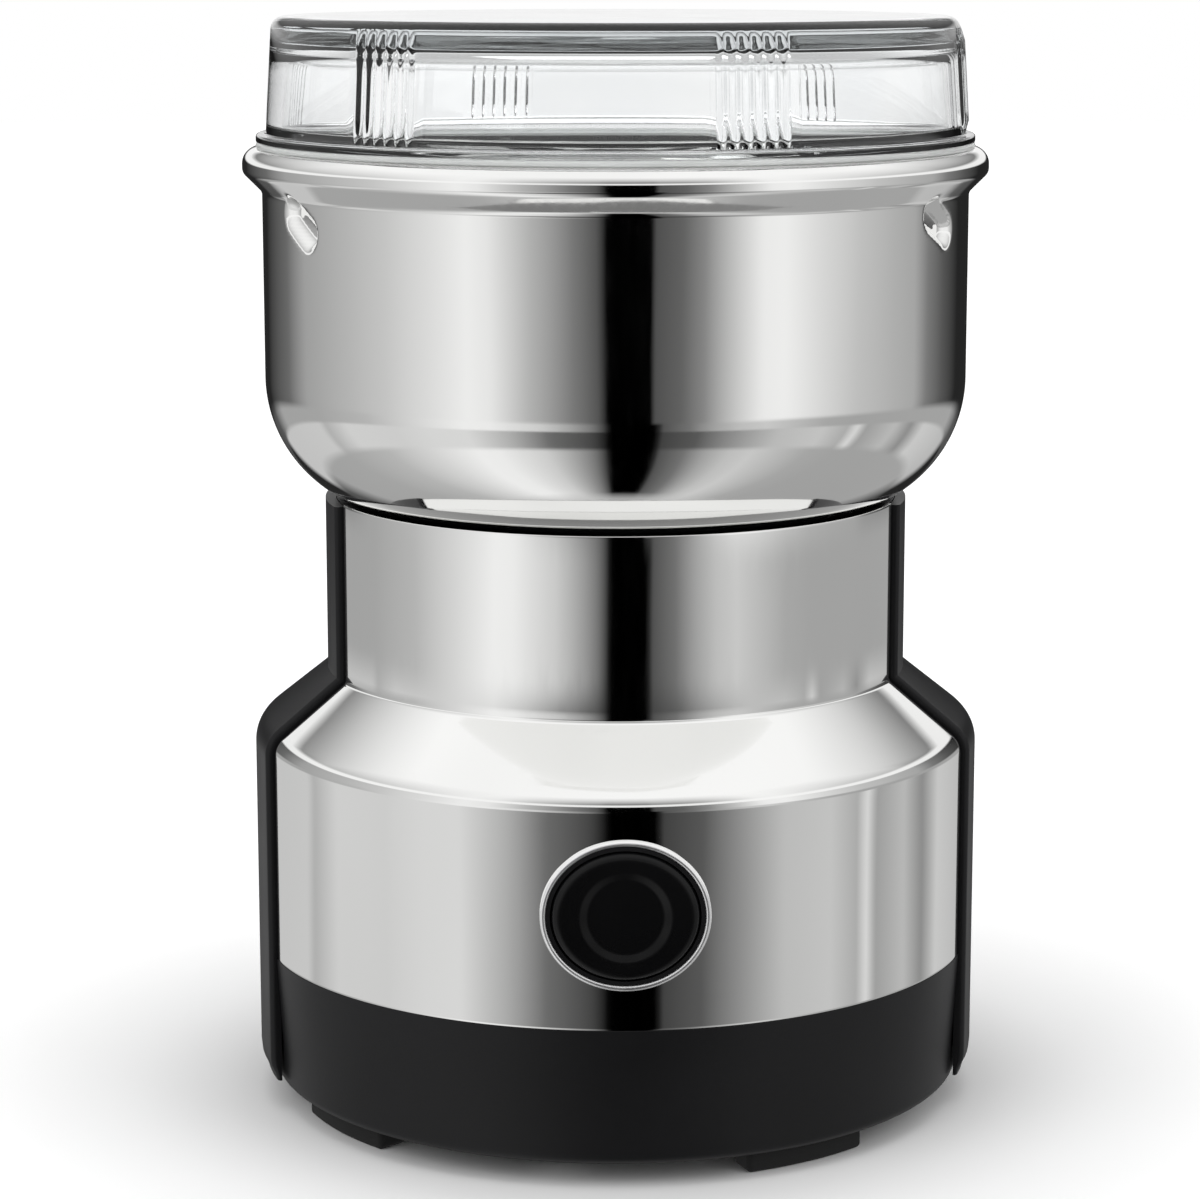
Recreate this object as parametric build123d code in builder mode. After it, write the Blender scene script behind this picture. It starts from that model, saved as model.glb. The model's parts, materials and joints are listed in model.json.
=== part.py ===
"""Electric spice grinder: clear lid, steel bowl, clad housing, push button and universal motor.

Millimetres. The Z axis is the common axis of bowl, motor and housing, z = 0 is the table,
and the push button faces -Y. Azimuths are degrees from the front, positive towards +X.
"""
import os
from math import atan2, cos, degrees, hypot, radians, sin, sqrt, tan

from build123d import *

# ---------------------------------------------------------------- clearances
face_gap = 0.3  # between pieces that pass each other
wall_gap = 0.15  # between a skin and the wall behind it
press_gap = 0.02  # around a pressed, glued or threaded seat
running_gap = 0.05  # around a turning shaft or a sliding plunger
hole_gap = 0.2  # around a screw or bolt that passes through
slide_gap = 0.2  # around the push button in its guide
brush_gap = 0.1  # between a carbon brush and the commutator

# ---------------------------------------------------------------- heights, from the table up
foot_height = 3.5
base_band_height = 20.6
steel_band_height = 33.3
shoulder_height = 8.9
neck_height = 27.0
bowl_sink = 1.9  # how deep the bowl's floor sits below the top of the neck
bowl_height = 54.4
lid_height = 17.3  # from the lid's flange to its top

base_z = foot_height
steel_z = base_z + base_band_height
ridge_z = steel_z + steel_band_height
shoulder_z = ridge_z + shoulder_height
neck_top_z = shoulder_z + neck_height
bowl_z = neck_top_z - bowl_sink
rim_z = bowl_z + bowl_height

# ---------------------------------------------------------------- housing
shoulder_width = 11.2
lip_wall = 1.1  # the black lip round the bowl at its top
base_edge_inset = 1.3  # how much narrower the base is at its lower edge
base_edge_fillet = 1.6
ridge_fillet = 3.5
neck_fillet = 1.0
panel_sheet = 0.6
panel_half_angle = 71.0
housing_wall = 2.2
strip_proud = 1.0
strip_groove = 1.3  # open groove between a steel panel's edge and the side strip
strip_fillet = 0.9
strip_foot_height = 1.2  # how far the strips end above the housing's lower edge
strip_foot_rise = 3.0
strip_foot_fillet = 1.5
deck_thickness = 3.2
deck_hole_radius = 10.0
lip_drop = 0.4  # the black lip's top below the steel panels' top edge

# ---------------------------------------------------------------- bowl
bowl_radius = 53.1
rim_flare = 2.9
bowl_corner = 20.0
bowl_sheet = 0.8
rim_height = 6.5
rim_flare_height = 2.9
rim_shoulder = 1.4
rim_fillet = 1.4
rim_bead = 0.9
rim_lip = 0.4
bowl_hole_radius = 7.0
lug_count = 3
lug_azimuth = 60.0
lug_drop = 9.7  # lug centre below the rim's top
lug_length = 10.5
lug_width = 5.2
lug_depth = 1.6
lug_slant = 28.0

# ---------------------------------------------------------------- lid
seal_thickness = 0.8
lid_flange_thickness = 1.2
lid_flange_inset = 2.1  # the flange's edge inside the rim's edge
lid_ledge = 1.5
lid_draft = 1.1  # how much narrower the lid's wall is at its top
lid_wall = 2.4
lid_plate = 4.0
lid_top_fillet = 2.0
lid_inner_fillet = 3.0
lid_skirt_wall = 2.2
lid_skirt_edge = 0.8  # skirt left below the pins
lid_pin_radius = 1.6
lid_lock_turn = 22.0
rib_groups = 6
rib_group_azimuth = 20.0
ribs_in_group = 6
rib_pitch = 1.95
rib_width = 0.95
rib_height = 0.6

# ---------------------------------------------------------------- shaft, blade and shaft seal
shaft_radius = 3.0
seal_flange_radius = 10.5
seal_flange_thickness = 1.6
seal_nose_radius = 5.5
seal_nose_height = 5.0
seal_tail = 3.0
spacer_radius = 6.0
spacer_height = 2.0
blade_thickness = 1.6
blade_clearance = 14.3  # between the blade's tips and the bowl's wall
blade_root_width = 13.0
blade_tip_width = 8.0
blade_hub_radius = 8.0
blade_root_lap = 1.5
blade_tip_rake = 2.5
blade_edge_taper = 35.0
blade_up_angle = 14.0
blade_down_angle = 8.0
washer_thickness = 1.0
washer_radius = 5.5
nut_flats = 10.0
nut_height = 5.5
nut_grip = 3.6
nut_chamfer = 1.2
shaft_end_chamfer = 0.5

# ---------------------------------------------------------------- bowl fastening
stud_count = 3
stud_azimuth = 90.0
stud_radius = 2.0
stud_end = 1.0
gasket_margin = 1.1  # the gasket's edge inside the bowl's flat floor
gasket_width = 12.0
gasket_thickness = 1.0
damper_radius = 5.0
damper_thickness = 2.3
stud_washer_radius = 4.4
stud_washer_thickness = 0.8
stud_nut_flats = 7.0
stud_nut_height = 3.2

# ---------------------------------------------------------------- motor
bracket_plate = 2.5
bracket_margin = 3.0  # between the upper bracket and the neck's wall
bracket_post_height = 10.4
bush_radius = 6.0
bush_height = 7.0
hub_wall = 3.0
hub_rise = 2.0  # the upper hub above its plate
bracket_vent_inner = 12.0
bracket_vent_outer = 33.0
bracket_vent_angle = 44.0
thrust_washer_thickness = 1.2
thrust_washer_radius = 5.0
thrust_play = 0.2
armature_radius = 15.0
air_gap = 0.5
stack_length = 22.0
slot_count = 12
slot_width = 2.6
slot_depth = 6.5
slot_liner = 0.2
winding_radius = 13.5
winding_inner_radius = 4.5
winding_end = 5.5
winding_fillet = 2.0
stator_half_x = 27.0
stator_half_y = 21.0
stator_corner = 8.0
bolt_x = 22.5
bolt_y = 16.5
bolt_radius = 2.0
bolt_head_radius = 3.6
bolt_head_height = 2.8
post_radius = 4.2
coil_inner_radius = 17.0
coil_outer_radius = 21.5
coil_window_angle = 39.0
coil_leg_start = 8.0
coil_leg_end = 36.0
coil_end_height = 4.6
commutator_radius = 8.5
commutator_length = 10.0
commutator_bars = 24
commutator_groove = 0.3
commutator_groove_depth = 0.8
commutator_rise = 2.1
commutator_sleeve_radius = 5.0
commutator_sleeve_end = 1.0
lower_plate = 3.0
lower_vent_y = 15.0
lower_vent_length = 26.0
lower_vent_width = 7.0
lower_post_height = 21.0
brush_width = 5.0
brush_height = 6.0
brush_length = 12.0
brush_spring_length = 6.4
brush_spring_radius = 1.9
brush_spring_wire = 0.45
brush_spring_turns = 6
holder_wall = 0.9
holder_start = 10.5
holder_cap_thickness = 1.2
holder_gap = 0.1
shelf_x = 20.0
shelf_length = 12.0
shelf_width = 9.0
fan_radius = 25.0
fan_blades = 9
fan_height = 6.5
fan_plate = 1.0
fan_hub_radius = 6.5
fan_blade_sheet = 1.2
fan_blade_lean = 25.0
fan_blade_inset = 1.5
clip_thickness = 1.0
clip_radius = 5.0
shaft_tail = 0.9

# ---------------------------------------------------------------- base cover, feet and cord inlet
cover_thickness = 2.5
base_screw_count = 4
base_screw_azimuth = 78.0
base_screw_radius = 1.5
base_screw_head_radius = 2.7
base_screw_head_height = 2.0
base_screw_length = 10.0
base_boss_radius = 5.0
base_boss_height = 14.0
boss_wall_lap = 0.25
cover_pad_rise = 2.0
head_recess = 0.5
foot_count = 4
foot_azimuth = 33.0
foot_margin = 0.85  # the feet's edge inside the base cover's edge
foot_width = 5.4
foot_half_angle = 12.0
foot_recess = 1.0
foot_fillet = 0.8
foot_names = ("foot_front_right", "foot_rear_right", "foot_rear_left", "foot_front_left")
vent_count = 20
vent_inner_radius = 14.0
vent_outer_radius = 34.0
vent_width = 2.2
gland_bore_radius = 3.2
gland_tube_radius = 4.6
gland_flange_radius = 6.6
gland_recess = 1.4
gland_flange_thickness = 2.6
gland_tail = 5.0
gland_fillet = 0.9
clamp_setback = 12.55  # the clamp's centre behind the gland's end
clamp_post_x = 8.5
clamp_post_radius = 3.5
clamp_thickness = 2.6
clamp_half_width = 4.5
clamp_screw_radius = 1.4
clamp_screw_head_radius = 2.6
clamp_screw_head_height = 1.8
clamp_screw_length = 9.0
cord_space_radius = 3.0
saddle_width = 6.0
screw_slot = 0.8  # width of the cross or slot in every screw head
terminal_x = 34.0
terminal_y = 15.0
terminal_width = 10.0
terminal_length = 18.0
terminal_height = 10.0
terminal_pitch = 8.0
terminal_screw_radius = 1.6
terminal_bore = 1.5
terminal_bore_z = 3.0
capacitor_x = -34.0
capacitor_y = 14.0
capacitor_width = 7.0
capacitor_length = 17.0
capacitor_height = 12.0
capacitor_fillet = 0.8

# ---------------------------------------------------------------- push button and switch
button_height = 16.9  # the button's centre above the steel band's lower edge
button_half_width = 10.5
button_half_height = 9.3
button_proud = 1.4  # front of the button's face before the steel band
button_depth = 4.5
button_face = 2.2
button_wall = 1.4
button_edge = 1.2
button_dish_radius = 6.2
button_dish_depth = 0.5
button_travel = 2.5
stem_radius = 2.4
stem_reach = 3.4  # the stem behind the guide's plate
guide_wall = 0.55
guide_setback = 0.9  # the guide's front edge behind the button's face
guide_plate = 2.0
guide_plate_margin = 1.95
guide_screw_radius = 1.1
guide_screw_head_radius = 2.1
guide_screw_head_height = 1.4
guide_screw_length = 4.6
guide_boss_radius = 2.3
bezel_width = 0.85
bezel_proud = 0.75
bezel_edge = 0.3
stem_clip_radius = 4.4
stem_clip_thickness = 0.8
spring_radius = 4.0
spring_wire = 0.5
spring_turns = 4
stem_overrun = 0.6  # left between the stem and the switch body at full travel
arm_thickness = 2.0
arm_half_height = 5.0
switch_half_width = 7.0
switch_half_height = 7.5
switch_depth = 11.0
switch_fillet = 0.8
plunger_radius = 1.8
plunger_inside = 3.0
switch_pin_radius = 1.2
switch_pin_rise = 3.5
switch_pin_inset = 3.0
switch_pin_head = 0.9
switch_pin_head_radius = 2.0
tab_length = 5.0
tab_width = 4.8
tab_sheet = 0.8
tab_x = 3.6


def front(azimuth):
    """Unit vector pointing outward at an azimuth from the front."""
    return (sin(radians(azimuth)), -cos(radians(azimuth)))


def radial_plane(azimuth):
    """Upright plane through the Z axis: local x runs outward, local y runs up."""
    x, y = front(azimuth)
    return Plane(origin=(0, 0, 0), x_dir=(x, y, 0), z_dir=(y, -x, 0))


def ring_places(radius, count, first):
    """Points evenly spaced on a circle about Z, the first at an azimuth."""
    places = []
    for index in range(count):
        x, y = front(first + 360 * index / count)
        places.append((radius * x, radius * y))
    return places


def disc(radius, bottom, top, bore=0.0, mode=Mode.ADD):
    """Add or cut a disc or ring about Z in the open part."""
    with BuildSketch(Plane.XY.offset(bottom)) as outline:
        Circle(radius)
        if bore:
            Circle(bore, mode=Mode.SUBTRACT)
    extrude(outline.sketch, amount=top - bottom, mode=mode)


def posts(places, radius, bottom, top, mode=Mode.ADD):
    """Add or cut an upright cylinder at each place of the open part."""
    with BuildSketch(Plane.XY.offset(bottom)) as outline:
        with Locations(*places):
            Circle(radius)
    extrude(outline.sketch, amount=top - bottom, mode=mode)


def turned(points, arc=360.0, azimuth=0.0, mode=Mode.ADD):
    """Add or cut the closed outline of (radius, z) points, turned about Z around an azimuth."""
    with BuildSketch(radial_plane(azimuth - arc / 2 if arc < 360 else 0)) as outline:
        with BuildLine():
            Polyline(*points, close=True)
        make_face()
    revolve(outline.sketch, axis=Axis.Z, revolution_arc=arc, mode=mode)


def save(builder, label):
    """Name a finished piece and write its STEP file."""
    builder.part.label = label
    export_step(builder.part, f"parts/{label}.step")


os.makedirs("parts", exist_ok=True)

# ================================================================ housing
corner_z = bowl_z + bowl_corner  # centre height of the bowl's rounded lower corner
corner_x = bowl_radius - bowl_corner  # the same centre's distance from the axis
seat_radius = bowl_corner + face_gap
lip_z = neck_top_z - lip_drop


def seat_x(z):
    """Radius of the bowl's seat, the bowl's outside plus its gap, at a height."""
    return corner_x + sqrt(seat_radius**2 - (corner_z - z) ** 2)


# The outside follows a band, a shoulder and a neck that fits round the bowl. A skin at some
# depth below the steel has the same shape, moved in by the depth and down by the depth times
# skin_shift.
sheet_depth = panel_sheet  # the back of the steel panels and side strips
core_depth = sheet_depth + wall_gap
inner_depth = core_depth + housing_wall
neck_radius = seat_x(lip_z) + lip_wall + core_depth
band_radius = neck_radius + shoulder_width
clear_radius = 2 * band_radius  # beyond every outside face
shoulder_turn = atan2(shoulder_width, shoulder_height)
skin_shift = tan(shoulder_turn / 2)
core_radius = band_radius - core_depth
recess_x = core_radius - wall_gap
inner_radius = band_radius - inner_depth
neck_inner_radius = neck_radius - inner_depth
base_edge_radius = band_radius - base_edge_inset
deck_top = bowl_z - gasket_thickness
deck_bottom = deck_top - deck_thickness
cover_top = base_z + cover_thickness
cover_pad_top = cover_top + cover_pad_rise
gland_z = base_z + base_band_height / 2
button_z = steel_z + button_height
button_front = band_radius + button_proud


def skin(depth, bottom, top, ridge=ridge_fillet):
    """Draw the housing's line at a depth below the steel surface, from bottom to top."""
    return FilletPolyline(
        (band_radius - depth, bottom),
        (band_radius - depth, ridge_z - depth * skin_shift),
        (neck_radius - depth, shoulder_z - depth * skin_shift),
        (neck_radius - depth, top),
        radius=[max(ridge - depth, face_gap), neck_fillet + max(depth, 0)],
    )


strip_start = panel_half_angle + degrees(strip_groove / band_radius)
strip_arc = 2 * (90 - strip_start)
gasket_outer_radius = corner_x - gasket_margin
gasket_inner_radius = gasket_outer_radius - gasket_width
gasket_pocket_radius = gasket_outer_radius + face_gap
seat_low_z = corner_z - seat_radius
seat_mid_z = (lip_z + seat_low_z) / 2
stud_circle_radius = (gasket_inner_radius + gasket_outer_radius) / 2
stud_places = ring_places(stud_circle_radius, stud_count, stud_azimuth)
base_screw_circle = inner_radius - base_boss_radius + boss_wall_lap
base_screw_places = ring_places(base_screw_circle, base_screw_count, base_screw_azimuth)
guide_outer_x = button_half_width + slide_gap + guide_wall
guide_outer_z = button_half_height + slide_gap + guide_wall
guide_screw_x = guide_outer_x + hole_gap + wall_gap + guide_boss_radius
guide_plate_half_height = guide_outer_z + guide_plate_margin
cap_rear = button_front - button_depth
plate_front = cap_rear - button_travel - 2 * slide_gap
plate_rear = plate_front - guide_plate
guide_boss_reach = sqrt((core_radius - face_gap) ** 2 - (guide_screw_x + guide_boss_radius) ** 2)
gland_face = band_radius - gland_recess
button_plane = Plane(origin=(0, 0, button_z), x_dir=(1, 0, 0), z_dir=(0, -1, 0))
gland_plane = Plane(origin=(0, 0, gland_z), x_dir=(-1, 0, 0), z_dir=(0, 1, 0))

with BuildPart() as main_housing:
    with BuildSketch(radial_plane(0)):
        with BuildLine():
            core = skin(core_depth, steel_z, lip_z)
            inner = skin(inner_depth, base_z, deck_bottom)
            Line(core @ 1, (seat_x(lip_z), lip_z))
            ThreePointArc(
                (seat_x(lip_z), lip_z),
                (seat_x(seat_mid_z), seat_mid_z),
                (corner_x, seat_low_z),
            )
            Polyline(
                (corner_x, seat_low_z),
                (gasket_pocket_radius, seat_low_z),
                (gasket_pocket_radius, deck_top),
                (deck_hole_radius, deck_top),
                (deck_hole_radius, deck_bottom),
                inner @ 1,
            )
            Polyline(inner @ 0, (base_edge_radius, base_z), (band_radius, steel_z), core @ 0)
        make_face()
    revolve(axis=Axis.Z)
    low_rims = main_housing.edges().filter_by(GeomType.CIRCLE).group_by(Axis.Z)[0]
    fillet(low_rims.sort_by(SortBy.RADIUS)[-1], base_edge_fillet)
    # bosses for the base screws, clipped by the wall that they grow from
    posts(base_screw_places, base_boss_radius, cover_pad_top, cover_pad_top + base_boss_height)
    posts(base_screw_places, base_screw_radius + press_gap, base_z,
          cover_pad_top + base_screw_length, Mode.SUBTRACT)
    # bosses for the push button's guide
    with BuildSketch(button_plane.offset(plate_front)):
        with Locations((-guide_screw_x, 0), (guide_screw_x, 0)):
            Circle(guide_boss_radius)
    extrude(amount=guide_boss_reach - plate_front)
    # recesses for the side strips in the lower band
    for side in (-90, 90):
        turned(
            [(recess_x, 0), (clear_radius, 0), (clear_radius, steel_z), (recess_x, steel_z)],
            strip_arc + 2 * degrees(wall_gap / band_radius), side, Mode.SUBTRACT,
        )
    # openings for the studs, the guide, its screws and the cord gland
    posts(stud_places, stud_radius + hole_gap, deck_bottom, deck_top, Mode.SUBTRACT)
    with BuildSketch(button_plane.offset(plate_front)):
        Ellipse(guide_outer_x + hole_gap, guide_outer_z + hole_gap)
    extrude(amount=clear_radius - plate_front, mode=Mode.SUBTRACT)
    with BuildSketch(button_plane.offset(plate_front)):
        with Locations((-guide_screw_x, 0), (guide_screw_x, 0)):
            Circle(guide_screw_radius + press_gap)
    extrude(amount=guide_screw_length - guide_plate + hole_gap, mode=Mode.SUBTRACT)
    with BuildSketch(gland_plane.offset(neck_radius)):
        Circle(gland_tube_radius + press_gap)
    extrude(amount=clear_radius - neck_radius, mode=Mode.SUBTRACT)
    with BuildSketch(gland_plane.offset(gland_face)):
        Circle(gland_flange_radius + face_gap)
    extrude(amount=clear_radius - gland_face, mode=Mode.SUBTRACT)
save(main_housing, "main_housing")


def steel_shell(azimuth):
    """Add a steel panel's sheet to the open part, centred on an azimuth."""
    with BuildSketch(radial_plane(azimuth - panel_half_angle)) as section:
        with BuildLine():
            outside = skin(0, steel_z, neck_top_z)
            inside = skin(sheet_depth, steel_z, neck_top_z)
            Line(outside @ 1, inside @ 1)
            Line(inside @ 0, outside @ 0)
        make_face()
    revolve(section.sketch, axis=Axis.Z, revolution_arc=2 * panel_half_angle)


with BuildPart() as front_panel:
    steel_shell(0)
    with BuildSketch(button_plane.offset(plate_front)):
        Ellipse(guide_outer_x + hole_gap, guide_outer_z + hole_gap)
    extrude(amount=clear_radius - plate_front, mode=Mode.SUBTRACT)
save(front_panel, "front_panel")

with BuildPart() as rear_panel:
    steel_shell(180)
save(rear_panel, "rear_panel")


def stands_proud(edge):
    """Say whether an edge of a side strip lies on its outer face."""
    mid = edge @ 0.5
    reach = hypot(mid.X, mid.Y)
    slope = shoulder_width / shoulder_height
    steel_x = band_radius - min(max(mid.Z - ridge_z, 0), shoulder_height) * slope
    return reach > steel_x and mid.Z > steel_z


for side, side_name in ((-90, "side_strip_left"), (90, "side_strip_right")):
    with BuildPart() as side_strip:
        with BuildSketch(radial_plane(side - strip_arc / 2)):
            with BuildLine():
                strip_back = skin(sheet_depth, base_z + strip_foot_height, lip_z)
                strip_face = FilletPolyline(
                    (band_radius, base_z + strip_foot_height),
                    (band_radius + strip_proud, base_z + strip_foot_height + strip_foot_rise),
                    (band_radius + strip_proud, ridge_z + strip_proud * skin_shift),
                    (neck_radius + strip_proud, shoulder_z + strip_proud * skin_shift),
                    (neck_radius + strip_proud, lip_z),
                    radius=[strip_foot_fillet, ridge_fillet + strip_proud, neck_fillet],
                )
                Line(strip_back @ 1, strip_face @ 1)
                Line(strip_back @ 0, strip_face @ 0)
            make_face()
        revolve(axis=Axis.Z, revolution_arc=strip_arc)
        side_faces = side_strip.faces().filter_by(GeomType.PLANE).sort_by(SortBy.AREA)[-2:]
        fillet(side_faces.edges().filter_by(stands_proud), strip_fillet)
    save(side_strip, side_name)

# ================================================================ bowl
floor_z = bowl_z + bowl_sheet
bowl_inner_radius = bowl_radius - bowl_sheet
rim_radius = bowl_radius + rim_flare
lug_z = rim_z - lug_drop
lug_azimuths = [lug_azimuth + 360 * index / lug_count for index in range(lug_count)]


def tangent_plane(azimuth, radius, z):
    """Upright plane facing outward at an azimuth: local x to the right, local y up."""
    x, y = front(azimuth)
    return Plane(origin=(radius * x, radius * y, z), x_dir=(-y, x, 0), z_dir=(x, y, 0))


with BuildPart() as grinding_bowl:
    with BuildSketch(radial_plane(0)):
        with BuildLine():
            half_turn = sqrt(0.5)
            Line((bowl_hole_radius, bowl_z), (corner_x, bowl_z))
            ThreePointArc(
                (corner_x, bowl_z),
                (corner_x + bowl_corner * half_turn, corner_z - bowl_corner * half_turn),
                (bowl_radius, corner_z),
            )
            FilletPolyline(
                (bowl_radius, corner_z),
                (bowl_radius, rim_z - rim_height),
                (rim_radius, rim_z - rim_height + rim_flare_height),
                (rim_radius, rim_z - rim_shoulder),
                (rim_radius - rim_shoulder, rim_z),
                (bowl_inner_radius + rim_lip, rim_z),
                (bowl_inner_radius, rim_z - rim_lip),
                (bowl_inner_radius, corner_z),
                radius=[rim_fillet, rim_fillet, rim_bead, rim_bead, rim_lip / 2, rim_lip / 2],
            )
            inside_corner = bowl_corner - bowl_sheet
            ThreePointArc(
                (bowl_inner_radius, corner_z),
                (corner_x + inside_corner * half_turn, corner_z - inside_corner * half_turn),
                (corner_x, floor_z),
            )
            Polyline((corner_x, floor_z), (bowl_hole_radius, floor_z), (bowl_hole_radius, bowl_z))
        make_face()
    revolve(axis=Axis.Z)
    # slanted lugs, pressed in from outside, that hold the lid's pins down
    for azimuth in lug_azimuths:
        with BuildSketch(tangent_plane(azimuth, bowl_inner_radius - lug_depth, lug_z)):
            SlotOverall(lug_length, lug_width, rotation=-lug_slant)
        extrude(amount=lug_depth + bowl_sheet / 2)
        with BuildSketch(tangent_plane(azimuth, bowl_inner_radius - lug_depth + bowl_sheet, lug_z)):
            SlotOverall(lug_length - 2 * bowl_sheet, lug_width - 2 * bowl_sheet, rotation=-lug_slant)
        extrude(amount=lug_depth + bowl_sheet, mode=Mode.SUBTRACT)
save(grinding_bowl, "grinding_bowl")

with BuildPart() as bowl_gasket:
    disc(gasket_outer_radius, deck_top, bowl_z, gasket_inner_radius)
    posts(stud_places, stud_radius + press_gap, deck_top, bowl_z, Mode.SUBTRACT)
save(bowl_gasket, "bowl_gasket")

damper_bottom = deck_bottom - damper_thickness
upper_plate_bottom = damper_bottom - bracket_plate
stud_nut_top = upper_plate_bottom - stud_washer_thickness
stud_nut_bottom = stud_nut_top - stud_nut_height

with BuildPart() as bowl_studs:
    posts(stud_places, stud_radius, stud_nut_bottom - stud_end, bowl_z)
save(bowl_studs, "bowl_studs")

with BuildPart() as motor_dampers:
    posts(stud_places, damper_radius, damper_bottom, deck_bottom)
    posts(stud_places, stud_radius + hole_gap, damper_bottom, deck_bottom, Mode.SUBTRACT)
save(motor_dampers, "motor_dampers")

with BuildPart() as stud_washers:
    posts(stud_places, stud_washer_radius, stud_nut_top, upper_plate_bottom)
    posts(stud_places, stud_radius + hole_gap, stud_nut_top, upper_plate_bottom, Mode.SUBTRACT)
save(stud_washers, "stud_washers")

with BuildPart() as stud_nuts:
    with BuildSketch(Plane.XY.offset(stud_nut_bottom)):
        with Locations(*stud_places):
            RegularPolygon(stud_nut_flats / 2, 6, major_radius=False)
            Circle(stud_radius + press_gap, mode=Mode.SUBTRACT)
    extrude(amount=stud_nut_height)
save(stud_nuts, "stud_nuts")

# ================================================================ lid
seal_top = rim_z + seal_thickness
flange_top = seal_top + lid_flange_thickness
lid_top = flange_top + lid_height
lid_flange_radius = rim_radius - lid_flange_inset
lid_wall_radius = lid_flange_radius - lid_ledge
lid_top_radius = lid_wall_radius - lid_draft
skirt_radius = bowl_inner_radius - lug_depth - slide_gap - face_gap
pin_drop = (lug_width / 2 + lid_pin_radius + face_gap) / cos(radians(lug_slant))
pin_z = lug_z - pin_drop
skirt_bottom = pin_z - lid_pin_radius - lid_skirt_edge
rib_angle = degrees(rib_width / lid_wall_radius)
rib_step = degrees(rib_pitch / lid_wall_radius)
rib_root = lid_wall / 2

with BuildPart() as lid:
    with BuildSketch(radial_plane(0)):
        with BuildLine():
            Polyline(
                (skirt_radius - lid_skirt_wall, skirt_bottom),
                (skirt_radius, skirt_bottom),
                (skirt_radius, seal_top),
                (lid_flange_radius, seal_top),
                (lid_flange_radius, flange_top),
                (lid_wall_radius, flange_top),
            )
            FilletPolyline(
                (lid_wall_radius, flange_top),
                (lid_top_radius, lid_top),
                (0, lid_top),
                radius=lid_top_fillet,
            )
            Line((0, lid_top), (0, lid_top - lid_plate))
            FilletPolyline(
                (0, lid_top - lid_plate),
                (lid_top_radius - lid_wall, lid_top - lid_plate),
                (lid_wall_radius - lid_wall, flange_top + lid_flange_thickness),
                radius=lid_inner_fillet,
            )
            Polyline(
                (lid_wall_radius - lid_wall, flange_top + lid_flange_thickness),
                (skirt_radius - lid_skirt_wall, seal_top),
                (skirt_radius - lid_skirt_wall, skirt_bottom),
            )
        make_face()
    revolve(axis=Axis.Z)
    # grip ribs up the wall, in groups
    for group in range(rib_groups):
        for rib in range(ribs_in_group):
            rib_azimuth = rib_group_azimuth + 360 * group / rib_groups
            rib_azimuth += (rib - (ribs_in_group - 1) / 2) * rib_step
            turned(
                [
                    (lid_wall_radius - rib_root, flange_top),
                    (lid_wall_radius + rib_height, flange_top),
                    (lid_top_radius + rib_height, lid_top - lid_top_fillet),
                    (lid_top_radius - rib_root, lid_top - lid_top_fillet),
                ],
                rib_angle, rib_azimuth,
            )
    # pins that turn in under the bowl's lugs
    for azimuth in lug_azimuths:
        with BuildSketch(tangent_plane(azimuth - lid_lock_turn, skirt_radius - lid_skirt_wall / 2, pin_z)):
            Circle(lid_pin_radius)
        extrude(amount=bowl_inner_radius - face_gap - wall_gap - skirt_radius + lid_skirt_wall / 2)
save(lid, "lid")

with BuildPart() as lid_seal:
    disc(lid_flange_radius, rim_z, seal_top, skirt_radius + press_gap)
save(lid_seal, "lid_seal")

# ================================================================ shaft seal, blade and nut
seal_nose_z = floor_z + seal_nose_height
spacer_z = seal_nose_z + face_gap
blade_z = spacer_z + spacer_height
blade_washer_z = blade_z + blade_thickness
nut_z = blade_washer_z + washer_thickness
shaft_top = nut_z + nut_grip
seal_bore = shaft_radius + running_gap
shaft_seat = shaft_radius + press_gap

with BuildPart() as shaft_seal:
    turned([
        (seal_bore, bowl_z - seal_tail),
        (bowl_hole_radius - press_gap, bowl_z - seal_tail),
        (bowl_hole_radius - press_gap, floor_z),
        (seal_flange_radius, floor_z),
        (seal_flange_radius, floor_z + seal_flange_thickness),
        (seal_nose_radius, seal_nose_z),
        (seal_bore, seal_nose_z),
    ])
save(shaft_seal, "shaft_seal")

with BuildPart() as blade_spacer:
    disc(spacer_radius, spacer_z, blade_z, shaft_seat)
save(blade_spacer, "blade_spacer")

blade_tip_radius = bowl_inner_radius - blade_clearance

with BuildPart() as blade:
    disc(blade_hub_radius, blade_z, blade_washer_z)
    for side, bend in ((1, blade_up_angle), (-1, -blade_down_angle)):
        wing_length = (blade_tip_radius - blade_hub_radius) / cos(radians(bend)) + blade_root_lap
        wing_root = (side * (blade_hub_radius - blade_root_lap), 0, blade_z)
        wing_axis = (side * cos(radians(bend)), 0, sin(radians(bend)))
        wing_up = (-side * sin(radians(bend)), 0, cos(radians(bend)))
        with BuildSketch(Plane(origin=wing_root, x_dir=wing_axis, z_dir=wing_up)):
            with BuildLine():
                Polyline(
                    (0, -blade_root_width / 2),
                    (wing_length, -blade_tip_width / 2),
                    (wing_length - blade_tip_rake, blade_tip_width / 2),
                    (0, blade_root_width / 2),
                    close=True,
                )
            make_face()
        extrude(amount=blade_thickness, taper=blade_edge_taper)
    disc(shaft_seat, blade_z - blade_thickness, nut_z, mode=Mode.SUBTRACT)
save(blade, "blade")

with BuildPart() as blade_washer:
    disc(washer_radius, blade_washer_z, nut_z, shaft_seat)
save(blade_washer, "blade_washer")

with BuildPart() as blade_nut:
    with BuildSketch(Plane.XY.offset(nut_z)):
        RegularPolygon(nut_flats / 2, 6, major_radius=False)
    extrude(amount=nut_height)
    chamfer(blade_nut.faces().sort_by(Axis.Z)[-1].edges(), nut_chamfer)
    disc(shaft_seat, nut_z, shaft_top + face_gap, mode=Mode.SUBTRACT)
save(blade_nut, "blade_nut")

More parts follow.
